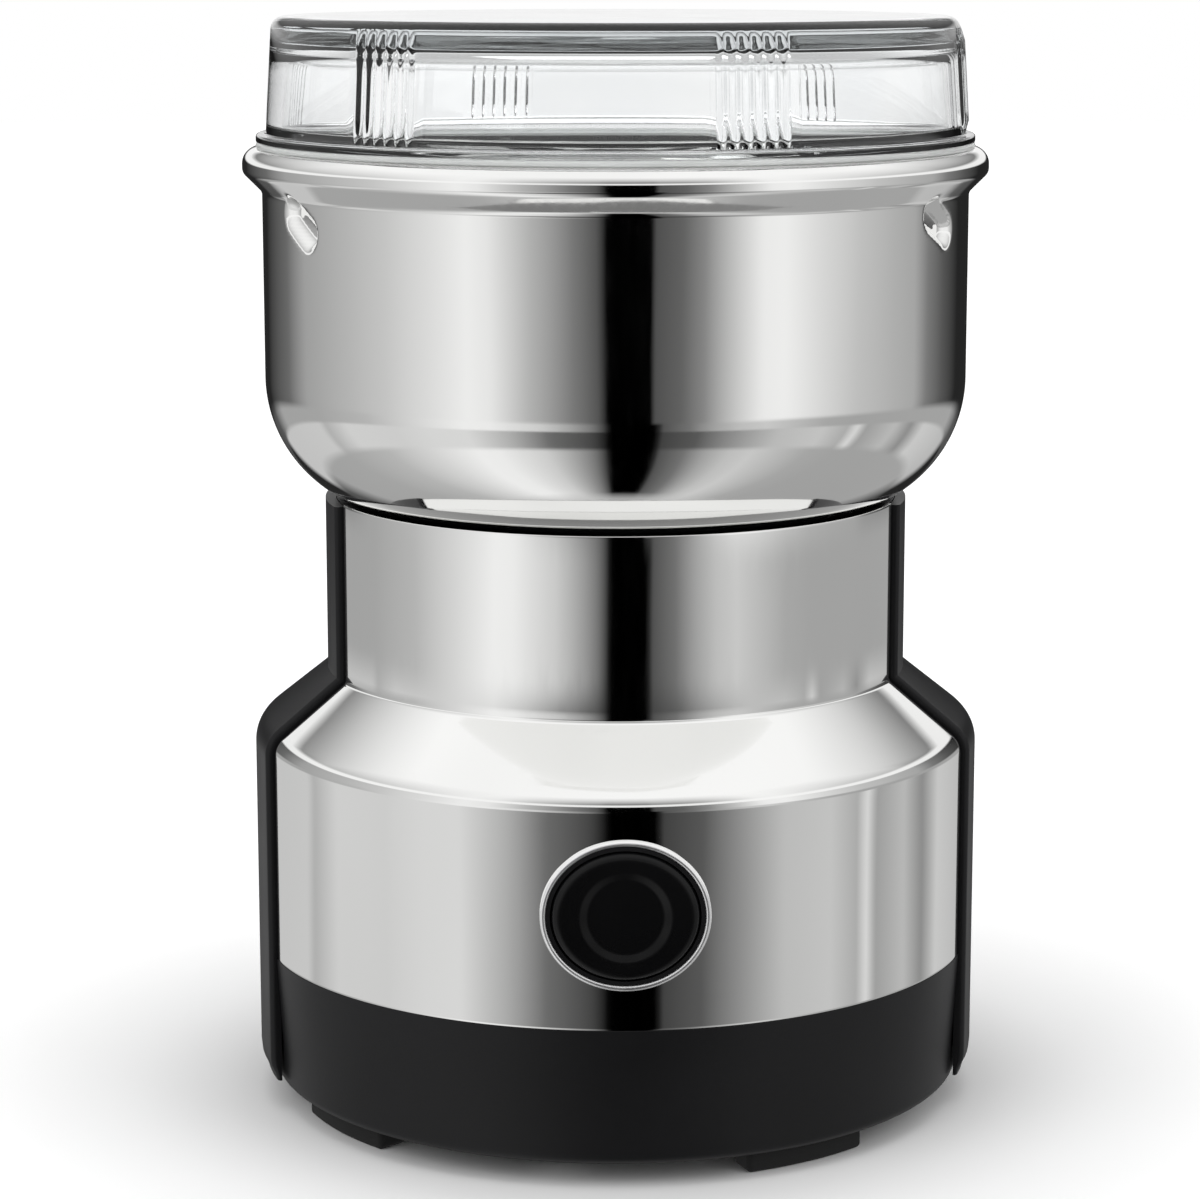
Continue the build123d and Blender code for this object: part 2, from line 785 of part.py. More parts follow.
# ================================================================ motor, from the deck down
stack_top = upper_plate_bottom - bracket_post_height
stack_bottom = stack_top - stack_length
lower_plate_top = stack_bottom - lower_post_height
lower_plate_bottom = lower_plate_top - lower_plate
upper_hub_top = damper_bottom + hub_rise
upper_hub_bottom = upper_hub_top - bush_height
lower_hub_bottom = lower_plate_top - bush_height
hub_radius = bush_radius + hub_wall
upper_washer_top = upper_hub_bottom - thrust_play
lower_washer_bottom = lower_plate_top + thrust_play
lower_washer_top = lower_washer_bottom + thrust_washer_thickness
commutator_bottom = lower_washer_top + commutator_rise
commutator_top = commutator_bottom + commutator_length
brush_z = (commutator_bottom + commutator_top) / 2
fan_top = lower_hub_bottom - face_gap
fan_bottom = fan_top - fan_height
clip_bottom = fan_bottom - clip_thickness
shaft_bottom = clip_bottom - shaft_tail
bush_bore = shaft_radius + running_gap
bolt_places = [(x, y) for x in (-bolt_x, bolt_x) for y in (-bolt_y, bolt_y)]
bracket_radius = neck_inner_radius - bracket_margin

with BuildPart() as drive_shaft:
    disc(shaft_radius, shaft_bottom, shaft_top)
    chamfer(drive_shaft.edges().filter_by(GeomType.CIRCLE), shaft_end_chamfer)
save(drive_shaft, "drive_shaft")

with BuildPart() as upper_bracket:
    disc(bracket_radius, upper_plate_bottom, damper_bottom)
    disc(hub_radius, upper_hub_bottom, upper_hub_top)
    posts(bolt_places, post_radius, stack_top, upper_plate_bottom)
    disc(bush_radius + press_gap, upper_hub_bottom, upper_hub_top, mode=Mode.SUBTRACT)
    posts(stud_places, stud_radius + hole_gap, upper_plate_bottom, damper_bottom, Mode.SUBTRACT)
    posts(bolt_places, bolt_radius + press_gap, stack_top, damper_bottom, Mode.SUBTRACT)
    # air openings between the hub and the studs
    for azimuth in (0, 180):
        turned(
            [
                (bracket_vent_inner, upper_plate_bottom), (bracket_vent_outer, upper_plate_bottom),
                (bracket_vent_outer, damper_bottom), (bracket_vent_inner, damper_bottom),
            ],
            bracket_vent_angle, azimuth, Mode.SUBTRACT,
        )
save(upper_bracket, "upper_bracket")

with BuildPart() as upper_bush:
    disc(bush_radius, upper_hub_bottom, upper_hub_top, bush_bore)
save(upper_bush, "upper_bush")

holder_half_y = brush_width / 2 + holder_gap + holder_wall
holder_half_z = brush_height / 2 + holder_gap + holder_wall
brush_start = commutator_radius + brush_gap
brush_end = brush_start + brush_length
holder_end = brush_end + brush_spring_length + 2 * press_gap

with BuildPart() as lower_bracket:
    with BuildSketch(Plane.XY.offset(lower_plate_bottom)):
        RectangleRounded(2 * stator_half_x, 2 * stator_half_y, stator_corner)
        with Locations((0, lower_vent_y), (0, -lower_vent_y)):
            SlotOverall(lower_vent_length, lower_vent_width, mode=Mode.SUBTRACT)
    extrude(amount=lower_plate)
    disc(hub_radius, lower_hub_bottom, lower_plate_top)
    posts(bolt_places, post_radius, lower_plate_top, stack_bottom)
    # shelves under the brush holders
    with BuildSketch(Plane.XY.offset(lower_plate_top)):
        with Locations((-shelf_x, 0), (shelf_x, 0)):
            Rectangle(shelf_length, shelf_width)
    extrude(amount=brush_z - holder_half_z - lower_plate_top)
    disc(bush_radius + press_gap, lower_hub_bottom, lower_plate_top, mode=Mode.SUBTRACT)
    posts(bolt_places, bolt_radius + hole_gap, lower_plate_bottom, stack_bottom, Mode.SUBTRACT)
save(lower_bracket, "lower_bracket")

with BuildPart() as lower_bush:
    disc(bush_radius, lower_hub_bottom, lower_plate_top, bush_bore)
save(lower_bush, "lower_bush")

with BuildPart() as stator_core:
    with BuildSketch(Plane.XY.offset(stack_bottom)):
        RectangleRounded(2 * stator_half_x, 2 * stator_half_y, stator_corner)
        Circle(armature_radius + air_gap, mode=Mode.SUBTRACT)
        with Locations(*bolt_places):
            Circle(bolt_radius + hole_gap, mode=Mode.SUBTRACT)
    extrude(amount=stack_length)
    # windows on both sides of the bore, for the field coils' legs
    for azimuth in (-90, 90):
        turned(
            [
                (armature_radius, stack_bottom), (coil_outer_radius + hole_gap, stack_bottom),
                (coil_outer_radius + hole_gap, stack_top), (armature_radius, stack_top),
            ],
            2 * coil_window_angle, azimuth, Mode.SUBTRACT,
        )
save(stator_core, "stator_core")

coil_bottom = stack_bottom - face_gap - coil_end_height
coil_top = stack_top + face_gap + coil_end_height
for azimuth, coil_name in ((0, "field_coil_front"), (180, "field_coil_rear")):
    with BuildPart() as field_coil:
        turned(
            [
                (coil_inner_radius, coil_bottom), (coil_outer_radius, coil_bottom),
                (coil_outer_radius, coil_top), (coil_inner_radius, coil_top),
            ],
            2 * (90 - coil_leg_start), azimuth,
        )
        turned(
            [
                (armature_radius, stack_bottom - face_gap), (stator_half_x, stack_bottom - face_gap),
                (stator_half_x, stack_top + face_gap), (armature_radius, stack_top + face_gap),
            ],
            2 * (90 - coil_leg_end), azimuth, Mode.SUBTRACT,
        )
    save(field_coil, coil_name)

with BuildPart() as motor_bolts:
    posts(bolt_places, bolt_head_radius, lower_plate_bottom - bolt_head_height, lower_plate_bottom)
    posts(bolt_places, bolt_radius, lower_plate_bottom, damper_bottom)
    with BuildSketch(Plane.XY.offset(lower_plate_bottom - bolt_head_height)):
        with Locations(*bolt_places):
            Rectangle(bolt_head_radius, screw_slot)
            Rectangle(screw_slot, bolt_head_radius)
    extrude(amount=bolt_head_height / 2, mode=Mode.SUBTRACT)
save(motor_bolts, "motor_bolts")

with BuildPart() as armature_core:
    disc(armature_radius, stack_bottom, stack_top, shaft_seat)
    with BuildSketch(Plane.XY.offset(stack_bottom)):
        with PolarLocations(armature_radius - slot_depth / 2, slot_count):
            Rectangle(slot_depth + face_gap, slot_width)
    extrude(amount=stack_length, mode=Mode.SUBTRACT)
save(armature_core, "armature_core")

with BuildPart() as armature_winding:
    for bundle_bottom in (stack_bottom - winding_end, stack_top):
        with BuildSketch(radial_plane(0)):
            with BuildLine():
                Polyline(
                    (winding_inner_radius, bundle_bottom), (winding_radius, bundle_bottom),
                    (winding_radius, bundle_bottom + winding_end),
                    (winding_inner_radius, bundle_bottom + winding_end),
                    close=True,
                )
            make_face()
            fillet(vertices().sort_by(Axis.X)[-2:], winding_fillet)
        revolve(axis=Axis.Z)
    with BuildSketch(Plane.XY.offset(stack_bottom - winding_end / 2)):
        with PolarLocations(armature_radius - slot_depth / 2, slot_count):
            Rectangle(slot_depth - 2 * slot_liner, slot_width - 2 * slot_liner)
    extrude(amount=stack_length + winding_end)
save(armature_winding, "armature_winding")

with BuildPart() as commutator:
    disc(commutator_radius, commutator_bottom, commutator_top, commutator_sleeve_radius + press_gap)
    with BuildSketch(Plane.XY.offset(commutator_bottom)):
        with PolarLocations(commutator_radius, commutator_bars):
            Rectangle(2 * commutator_groove_depth, commutator_groove)
    extrude(amount=commutator_length, mode=Mode.SUBTRACT)
save(commutator, "commutator")

with BuildPart() as commutator_sleeve:
    disc(commutator_sleeve_radius, lower_washer_top, commutator_top + commutator_sleeve_end, shaft_seat)
save(commutator_sleeve, "commutator_sleeve")

with BuildPart() as thrust_washers:
    disc(thrust_washer_radius, lower_washer_bottom, lower_washer_top, shaft_seat)
    disc(thrust_washer_radius, upper_washer_top - thrust_washer_thickness, upper_washer_top, shaft_seat)
save(thrust_washers, "thrust_washers")

with BuildPart() as cooling_fan:
    disc(fan_radius, fan_top - fan_plate, fan_top)
    disc(fan_hub_radius, fan_bottom, fan_top)
    with BuildSketch(Plane.XY.offset(fan_bottom)):
        with PolarLocations(0, fan_blades):
            with Locations(((fan_hub_radius + fan_radius) / 2, 0)):
                Rectangle(fan_radius - fan_hub_radius - fan_blade_inset, fan_blade_sheet,
                          rotation=fan_blade_lean)
    extrude(amount=fan_height - fan_plate / 2)
    disc(shaft_seat, fan_bottom, fan_top, mode=Mode.SUBTRACT)
save(cooling_fan, "cooling_fan")

with BuildPart() as fan_clip:
    disc(clip_radius, clip_bottom, fan_bottom, shaft_seat)
    with BuildSketch(Plane.XY.offset(clip_bottom)):
        with Locations((clip_radius, 0)):
            Rectangle(2 * (clip_radius - shaft_seat) + press_gap, shaft_radius)
    extrude(amount=clip_thickness, mode=Mode.SUBTRACT)
save(fan_clip, "fan_clip")

# ---------------------------------------------------------------- brushes
for side, side_name in ((-1, "left"), (1, "right")):
    brush_plane = Plane(origin=(0, 0, brush_z), x_dir=(0, side, 0), z_dir=(side, 0, 0))
    with BuildPart() as carbon_brush:
        with BuildSketch(brush_plane.offset(armature_radius / 2)):
            Rectangle(brush_width, brush_height)
        extrude(amount=brush_end - armature_radius / 2)
        disc(brush_start, commutator_bottom, commutator_top, mode=Mode.SUBTRACT)
    save(carbon_brush, f"carbon_brush_{side_name}")
    with BuildPart() as brush_holder:
        with BuildSketch(brush_plane.offset(holder_start)):
            Rectangle(2 * holder_half_y, 2 * holder_half_z)
            Rectangle(brush_width + 2 * holder_gap, brush_height + 2 * holder_gap, mode=Mode.SUBTRACT)
        extrude(amount=holder_end - holder_start)
        with BuildSketch(brush_plane.offset(holder_end)):
            Rectangle(2 * holder_half_y, 2 * holder_half_z)
        extrude(amount=holder_cap_thickness)
    save(brush_holder, f"brush_holder_{side_name}")

with BuildPart() as brush_springs:
    brush_spring_run = brush_spring_length - brush_spring_wire
    for side in (-1, 1):
        coil_start = (side * (brush_end + press_gap + brush_spring_wire / 2), 0, brush_z)
        with BuildLine() as brush_coil:
            Helix(
                brush_spring_run / brush_spring_turns, brush_spring_run, brush_spring_radius,
                center=coil_start, direction=(side, 0, 0),
            )
        with BuildSketch(Plane(origin=brush_coil.line @ 0, z_dir=brush_coil.line % 0)):
            Circle(brush_spring_wire / 2)
        sweep(path=brush_coil.line, is_frenet=True)
save(brush_springs, "brush_springs")

# ================================================================ base cover, feet and screws
cover_radius = inner_radius - face_gap
pad_radius = cover_radius - base_screw_circle - face_gap
foot_azimuths = [foot_azimuth + 360 * index / foot_count for index in range(foot_count)]
head_top = base_z + head_recess + base_screw_head_height
gland_end = inner_radius - gland_tail
clamp_y = gland_end - clamp_setback
clamp_z = gland_z + cord_space_radius
clamp_posts = [(-clamp_post_x, clamp_y), (clamp_post_x, clamp_y)]
foot_outer_radius = cover_radius - foot_margin
foot_inner_radius = foot_outer_radius - foot_width
foot_slack = degrees(slide_gap / foot_outer_radius)

with BuildPart() as base_cover:
    disc(cover_radius, base_z, cover_top)
    posts(base_screw_places, pad_radius, cover_top, cover_pad_top)
    posts(clamp_posts, clamp_post_radius, cover_top, clamp_z)
    with BuildSketch(Plane.XY.offset(cover_top)):
        with Locations((0, clamp_y)):
            Rectangle(2 * clamp_post_x, saddle_width)
    extrude(amount=gland_z - cord_space_radius - cover_top)
    posts(base_screw_places, base_screw_radius + hole_gap, base_z, cover_pad_top, Mode.SUBTRACT)
    posts(base_screw_places, base_screw_head_radius + hole_gap, base_z, head_top, Mode.SUBTRACT)
    posts(clamp_posts, clamp_screw_radius + press_gap, clamp_z + clamp_thickness - clamp_screw_length,
          clamp_z, Mode.SUBTRACT)
    for azimuth in foot_azimuths:
        turned(
            [
                (foot_inner_radius - wall_gap, base_z), (foot_outer_radius + wall_gap, base_z),
                (foot_outer_radius + wall_gap, base_z + foot_recess),
                (foot_inner_radius - wall_gap, base_z + foot_recess),
            ],
            2 * (foot_half_angle + foot_slack), azimuth, Mode.SUBTRACT,
        )
    with BuildSketch(Plane.XY.offset(base_z)):
        with PolarLocations((vent_inner_radius + vent_outer_radius) / 2, vent_count):
            SlotOverall(vent_outer_radius - vent_inner_radius, vent_width)
    extrude(amount=cover_thickness, mode=Mode.SUBTRACT)
save(base_cover, "base_cover")

with BuildPart() as base_screws:
    head_bottom = head_top - base_screw_head_height
    posts(base_screw_places, base_screw_head_radius, head_bottom, head_top)
    posts(base_screw_places, base_screw_radius, head_top, head_top + base_screw_length)
    with BuildSketch(Plane.XY.offset(head_bottom)):
        with Locations(*base_screw_places):
            Rectangle(base_screw_head_radius, screw_slot)
            Rectangle(screw_slot, base_screw_head_radius)
    extrude(amount=base_screw_head_height / 2, mode=Mode.SUBTRACT)
save(base_screws, "base_screws")

for azimuth, foot_name in zip(foot_azimuths, foot_names):
    with BuildPart() as foot:
        turned(
            [
                (foot_inner_radius, 0), (foot_outer_radius, 0),
                (foot_outer_radius, base_z + foot_recess), (foot_inner_radius, base_z + foot_recess),
            ],
            2 * foot_half_angle, azimuth,
        )
        fillet(foot.edges().filter_by(Axis.Z), foot_fillet)
        fillet(foot.faces().sort_by(Axis.Z)[0].edges(), foot_fillet)
    save(foot, foot_name)

# ================================================================ cord inlet, clamp and terminals
with BuildPart() as cord_gland:
    with BuildSketch(gland_plane.offset(gland_end)):
        Circle(gland_tube_radius)
    extrude(amount=gland_face - gland_end)
    with BuildSketch(gland_plane.offset(gland_face)):
        Circle(gland_flange_radius)
    extrude(amount=gland_flange_thickness)
    fillet(cord_gland.faces().sort_by(Axis.Y)[-1].edges(), gland_fillet)
    with BuildSketch(gland_plane.offset(gland_end)):
        Circle(gland_bore_radius)
    extrude(amount=clear_radius - gland_end, mode=Mode.SUBTRACT)
save(cord_gland, "cord_gland")

with BuildPart() as cord_clamp:
    with BuildSketch(Plane.XY.offset(clamp_z)):
        with Locations((0, clamp_y)):
            SlotOverall(2 * (clamp_post_x + clamp_half_width), 2 * clamp_half_width)
    extrude(amount=clamp_thickness)
    posts(clamp_posts, clamp_screw_radius + hole_gap, clamp_z, clamp_z + clamp_thickness, Mode.SUBTRACT)
save(cord_clamp, "cord_clamp")

with BuildPart() as clamp_screws:
    clamp_top = clamp_z + clamp_thickness
    posts(clamp_posts, clamp_screw_head_radius, clamp_top, clamp_top + clamp_screw_head_height)
    posts(clamp_posts, clamp_screw_radius, clamp_top - clamp_screw_length, clamp_top)
    with BuildSketch(Plane.XY.offset(clamp_top + clamp_screw_head_height / 2)):
        with Locations(*clamp_posts):
            Rectangle(clamp_screw_head_radius, screw_slot)
            Rectangle(screw_slot, clamp_screw_head_radius)
    extrude(amount=clamp_screw_head_height, mode=Mode.SUBTRACT)
save(clamp_screws, "clamp_screws")

terminal_places = [(terminal_x, terminal_y + side * terminal_pitch / 2) for side in (-1, 1)]
terminal_screw_bottom = cover_top + terminal_height / 2
terminal_top = cover_top + terminal_height
terminal_plane = Plane(origin=(terminal_x, terminal_y, 0), x_dir=(0, 1, 0), z_dir=(1, 0, 0))

with BuildPart() as terminal_block:
    with BuildSketch(Plane.XY.offset(cover_top)):
        with Locations((terminal_x, terminal_y)):
            Rectangle(terminal_width, terminal_length)
    extrude(amount=terminal_height)
    posts(terminal_places, terminal_screw_radius + press_gap, terminal_screw_bottom,
          terminal_top, Mode.SUBTRACT)
    with BuildSketch(terminal_plane.offset(-terminal_width)):
        with Locations((-terminal_pitch / 2, cover_top + terminal_bore_z),
                       (terminal_pitch / 2, cover_top + terminal_bore_z)):
            Circle(terminal_bore)
    extrude(amount=2 * terminal_width, mode=Mode.SUBTRACT)
save(terminal_block, "terminal_block")

with BuildPart() as terminal_screws:
    posts(terminal_places, terminal_screw_radius, terminal_screw_bottom, terminal_top - press_gap)
    with BuildSketch(Plane.XY.offset(terminal_top - terminal_screw_radius / 2)):
        with Locations(*terminal_places):
            Rectangle(2 * terminal_screw_radius, screw_slot)
    extrude(amount=terminal_screw_radius, mode=Mode.SUBTRACT)
save(terminal_screws, "terminal_screws")

with BuildPart() as suppression_capacitor:
    with BuildSketch(Plane.XY.offset(cover_top)):
        with Locations((capacitor_x, capacitor_y)):
            Rectangle(capacitor_width, capacitor_length)
    extrude(amount=capacitor_height)
    fillet(suppression_capacitor.edges().filter_by(Axis.Z), capacitor_fillet)
    fillet(suppression_capacitor.faces().sort_by(Axis.Z)[-1].edges(), capacitor_fillet)
save(suppression_capacitor, "suppression_capacitor")

# ================================================================ push button and switch
# Distances here run from the Z axis towards the front.
stem_end = plate_rear - stem_reach
switch_front = stem_end - button_travel - stem_overrun
switch_rear = switch_front - switch_depth
face_rear = button_front - button_face
guide_front = button_front - guide_setback
plate_half_x = sqrt(inner_radius**2 - plate_front**2) - face_gap
bezel_inner_x = guide_outer_x + press_gap
bezel_inner_z = guide_outer_z + press_gap
arm_start = switch_half_width + wall_gap
arm_end = arm_start + arm_thickness
pin_points = [(switch_rear + switch_pin_inset, button_z - switch_pin_rise),
              (switch_rear + switch_pin_inset, button_z + switch_pin_rise)]

with BuildPart() as button_cap:
    with BuildSketch(button_plane.offset(cap_rear)):
        Ellipse(button_half_width, button_half_height)
    extrude(amount=button_depth)
    fillet(button_cap.faces().sort_by(Axis.Y)[0].edges(), button_edge)
    with BuildSketch(button_plane.offset(button_front - button_dish_depth)):
        Circle(button_dish_radius)
    extrude(amount=button_dish_depth, mode=Mode.SUBTRACT)
    with BuildSketch(button_plane.offset(cap_rear)):
        Ellipse(button_half_width - button_wall, button_half_height - button_wall)
    extrude(amount=button_depth - button_face, mode=Mode.SUBTRACT)
    with BuildSketch(button_plane.offset(stem_end)):
        Circle(stem_radius)
    extrude(amount=face_rear - stem_end)
save(button_cap, "button_cap")

with BuildPart() as button_clip:
    with BuildSketch(button_plane.offset(plate_rear - slide_gap - stem_clip_thickness)):
        Circle(stem_clip_radius)
        Circle(stem_radius + press_gap, mode=Mode.SUBTRACT)
    extrude(amount=stem_clip_thickness)
save(button_clip, "button_clip")

with BuildPart() as button_guide:
    with BuildSketch(button_plane.offset(plate_rear)):
        Rectangle(2 * plate_half_x, 2 * guide_plate_half_height)
    extrude(amount=guide_plate)
    with BuildSketch(button_plane.offset(plate_front)):
        Ellipse(guide_outer_x, guide_outer_z)
        Ellipse(button_half_width + slide_gap, button_half_height + slide_gap, mode=Mode.SUBTRACT)
    extrude(amount=guide_front - plate_front)
    # arms that carry the switch
    with BuildSketch(button_plane.offset(switch_rear)):
        with Locations((-(arm_start + arm_end) / 2, 0), ((arm_start + arm_end) / 2, 0)):
            Rectangle(arm_thickness, 2 * arm_half_height)
    extrude(amount=plate_rear - switch_rear)
    with BuildSketch(button_plane.offset(plate_rear)):
        Circle(stem_radius + slide_gap)
        with Locations((-guide_screw_x, 0), (guide_screw_x, 0)):
            Circle(guide_screw_radius + hole_gap)
    extrude(amount=guide_plate, mode=Mode.SUBTRACT)
    with BuildSketch(Plane.YZ.offset(-arm_end)):
        with Locations(*[(-reach, z) for reach, z in pin_points]):
            Circle(switch_pin_radius + hole_gap)
    extrude(amount=2 * arm_end, mode=Mode.SUBTRACT)
save(button_guide, "button_guide")

with BuildPart() as guide_screws:
    with BuildSketch(button_plane.offset(plate_rear)):
        with Locations((-guide_screw_x, 0), (guide_screw_x, 0)):
            Circle(guide_screw_radius)
    extrude(amount=guide_screw_length)
    with BuildSketch(button_plane.offset(plate_rear - guide_screw_head_height)):
        with Locations((-guide_screw_x, 0), (guide_screw_x, 0)):
            Circle(guide_screw_head_radius)
    extrude(amount=guide_screw_head_height)
save(guide_screws, "guide_screws")

with BuildPart() as button_bezel:
    with BuildSketch(button_plane.offset(plate_front)):
        Ellipse(bezel_inner_x + bezel_width, bezel_inner_z + bezel_width)
        Ellipse(bezel_inner_x, bezel_inner_z, mode=Mode.SUBTRACT)
    extrude(amount=band_radius + bezel_proud - plate_front)
    fillet(button_bezel.faces().sort_by(Axis.Y)[0].edges(), bezel_edge)
    disc(band_radius + press_gap, steel_z, shoulder_z, mode=Mode.SUBTRACT)
save(button_bezel, "button_bezel")

with BuildPart() as button_spring:
    spring_run = face_rear - plate_front - spring_wire - 2 * press_gap
    spring_start = (0, -(plate_front + press_gap + spring_wire / 2), button_z)
    with BuildLine() as button_coil:
        Helix(
            spring_run / spring_turns, spring_run, spring_radius,
            center=spring_start, direction=(0, -1, 0),
        )
    with BuildSketch(Plane(origin=button_coil.line @ 0, z_dir=button_coil.line % 0)):
        Circle(spring_wire / 2)
    sweep(path=button_coil.line, is_frenet=True)
save(button_spring, "button_spring")

with BuildPart() as switch_body:
    with BuildSketch(button_plane.offset(switch_rear)):
        RectangleRounded(2 * switch_half_width, 2 * switch_half_height, switch_fillet)
    extrude(amount=switch_depth)
    with BuildSketch(button_plane.offset(switch_front)):
        Circle(plunger_radius + hole_gap)
    extrude(amount=-(plunger_inside + button_travel + face_gap), mode=Mode.SUBTRACT)
    with BuildSketch(Plane.YZ.offset(-switch_half_width)):
        with Locations(*[(-reach, z) for reach, z in pin_points]):
            Circle(switch_pin_radius + hole_gap)
    extrude(amount=2 * switch_half_width, mode=Mode.SUBTRACT)
    # blade terminals at the back
    with BuildSketch(button_plane.offset(switch_rear - tab_length)):
        with Locations((-tab_x, 0), (tab_x, 0)):
            Rectangle(tab_width, tab_sheet)
    extrude(amount=tab_length)
save(switch_body, "switch_body")

with BuildPart() as switch_plunger:
    with BuildSketch(button_plane.offset(switch_front - plunger_inside)):
        Circle(plunger_radius)
    extrude(amount=stem_end - press_gap - switch_front + plunger_inside)
save(switch_plunger, "switch_plunger")

with BuildPart() as switch_pins:
    with BuildSketch(Plane.YZ.offset(-arm_end)):
        with Locations(*[(-reach, z) for reach, z in pin_points]):
            Circle(switch_pin_radius)
    extrude(amount=2 * arm_end)
    for start, length in ((-arm_end, -switch_pin_head), (arm_end, switch_pin_head)):
        with BuildSketch(Plane.YZ.offset(start)):
            with Locations(*[(-reach, z) for reach, z in pin_points]):
                Circle(switch_pin_head_radius)
        extrude(amount=length)
save(switch_pins, "switch_pins")
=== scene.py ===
"""Electric spice grinder: the visible shapes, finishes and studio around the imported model."""
import json
from collections import namedtuple
from math import atan2, cos, degrees, pi, radians, sin, tan

import bmesh
import bpy
import numpy as np
from bpy.props import FloatProperty, FloatVectorProperty, IntProperty, PointerProperty
from bpy.types import Operator, Panel, PropertyGroup
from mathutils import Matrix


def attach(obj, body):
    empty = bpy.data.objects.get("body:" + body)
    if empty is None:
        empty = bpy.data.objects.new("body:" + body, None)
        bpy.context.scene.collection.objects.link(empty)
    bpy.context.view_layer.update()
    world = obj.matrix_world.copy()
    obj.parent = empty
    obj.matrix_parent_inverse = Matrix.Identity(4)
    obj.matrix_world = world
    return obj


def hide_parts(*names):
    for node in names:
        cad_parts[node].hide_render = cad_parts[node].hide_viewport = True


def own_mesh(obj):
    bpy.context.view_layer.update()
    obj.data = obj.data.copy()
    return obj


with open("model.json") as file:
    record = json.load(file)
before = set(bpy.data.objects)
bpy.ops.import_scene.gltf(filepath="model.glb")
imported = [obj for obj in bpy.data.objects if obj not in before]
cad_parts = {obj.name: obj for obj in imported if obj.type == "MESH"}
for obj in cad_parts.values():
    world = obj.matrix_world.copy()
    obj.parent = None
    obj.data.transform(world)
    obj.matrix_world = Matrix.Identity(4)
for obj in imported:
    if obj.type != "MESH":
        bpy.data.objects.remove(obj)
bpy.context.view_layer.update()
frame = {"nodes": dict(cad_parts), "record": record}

bl_info = {
    "name": "Electric Spice Grinder",
    "version": (1, 0, 0),
    "blender": (4, 5, 0),
    "location": "3D View > Sidebar > Grinder",
    "description": "Builds the visible pieces, finishes and studio of an electric spice grinder",
    "category": "Object",
}

ROW_STEP = 0.0012  # longest run from row to row on the large pieces
EDGE_ROW = 0.0003  # distance of the extra row beside a cut edge
TOUCH = 0.00001  # gap between pieces that touch
finishes = {}  # the made finishes by the name of their slot


# ---------------------------------------------------------------- settings
def length(name, description, millimetres):
    """A length setting, given in millimetres and kept in metres."""
    return FloatProperty(name=name, description=description, default=millimetres / 1000, min=0.0,
                         unit="LENGTH", subtype="DISTANCE", precision=4)


def turn(name, description, value):
    """An angle setting, given in degrees."""
    return FloatProperty(name=name, description=description, default=radians(value),
                         unit="ROTATION", subtype="ANGLE")


def tone(name, description, red, green, blue):
    """A colour setting."""
    return FloatVectorProperty(name=name, description=description, default=(red, green, blue),
                               min=0.0, max=1.0, size=3, subtype="COLOR")


class GrinderHousing(PropertyGroup):
    band: length("Band radius", "Outside radius of the lower steel band", 54.5)
    neck: length("Neck radius", "Outside radius of the steel neck", 43.3)
    base_edge: length("Base edge radius", "Outside radius of the black base at its lower edge", 53.2)
    base_fillet: length("Base edge rounding", "Radius of the rounding at the base's lower edge", 1.6)
    base_z: length("Base height", "Height of the base's lower edge above the table", 3.5)
    steel_z: length("Steel height", "Height where the steel panels start", 24.1)
    ridge_z: length("Ridge height", "Height where the band turns into the shoulder", 57.4)
    shoulder_z: length("Shoulder height", "Height where the shoulder meets the neck", 66.3)
    neck_z: length("Neck top height", "Height of the steel panels' top edge", 93.3)
    ridge_fillet: length("Ridge rounding", "Radius of the rounding on the ridge", 3.5)
    neck_fillet: length("Neck rounding", "Radius in the corner between shoulder and neck", 1.0)
    sheet: length("Sheet thickness", "Thickness of the steel panels", 0.6)
    sheet_edge: length("Sheet edge", "Rounding along the steel panels' cut edges", 0.15)
    wall: length("Wall thickness", "Thickness of the black housing wall", 2.2)
    skin_gap: length("Skin gap", "Gap between a steel panel and the wall behind it", 0.15)
    panel_angle: turn("Panel half angle", "Half of the arc that one steel panel covers", 71.0)
    strip_groove: length("Groove", "Open groove beside each side strip", 1.3)
    strip_proud: length("Strip height", "How far a side strip stands above the steel", 1.0)
    strip_edge: length("Strip edge", "Rounding along a side strip's long edges", 0.9)
    strip_rise: length("Strip foot rise", "Length of the side strip's thin foot", 3.0)
    strip_z: length("Strip foot height", "Height of the side strips' lower ends", 4.7)
    lip_z: length("Lip height", "Height of the black lip round the bowl", 92.9)
    deck_top: length("Deck top", "Height of the deck under the bowl's gasket", 90.4)
    deck_bottom: length("Deck bottom", "Height of the deck's underside", 87.2)
    deck_hole: length("Deck hole", "Radius of the hole in the middle of the deck", 10.0)
    pocket: length("Gasket pocket", "Radius of the pocket round the bowl's gasket", 32.3)


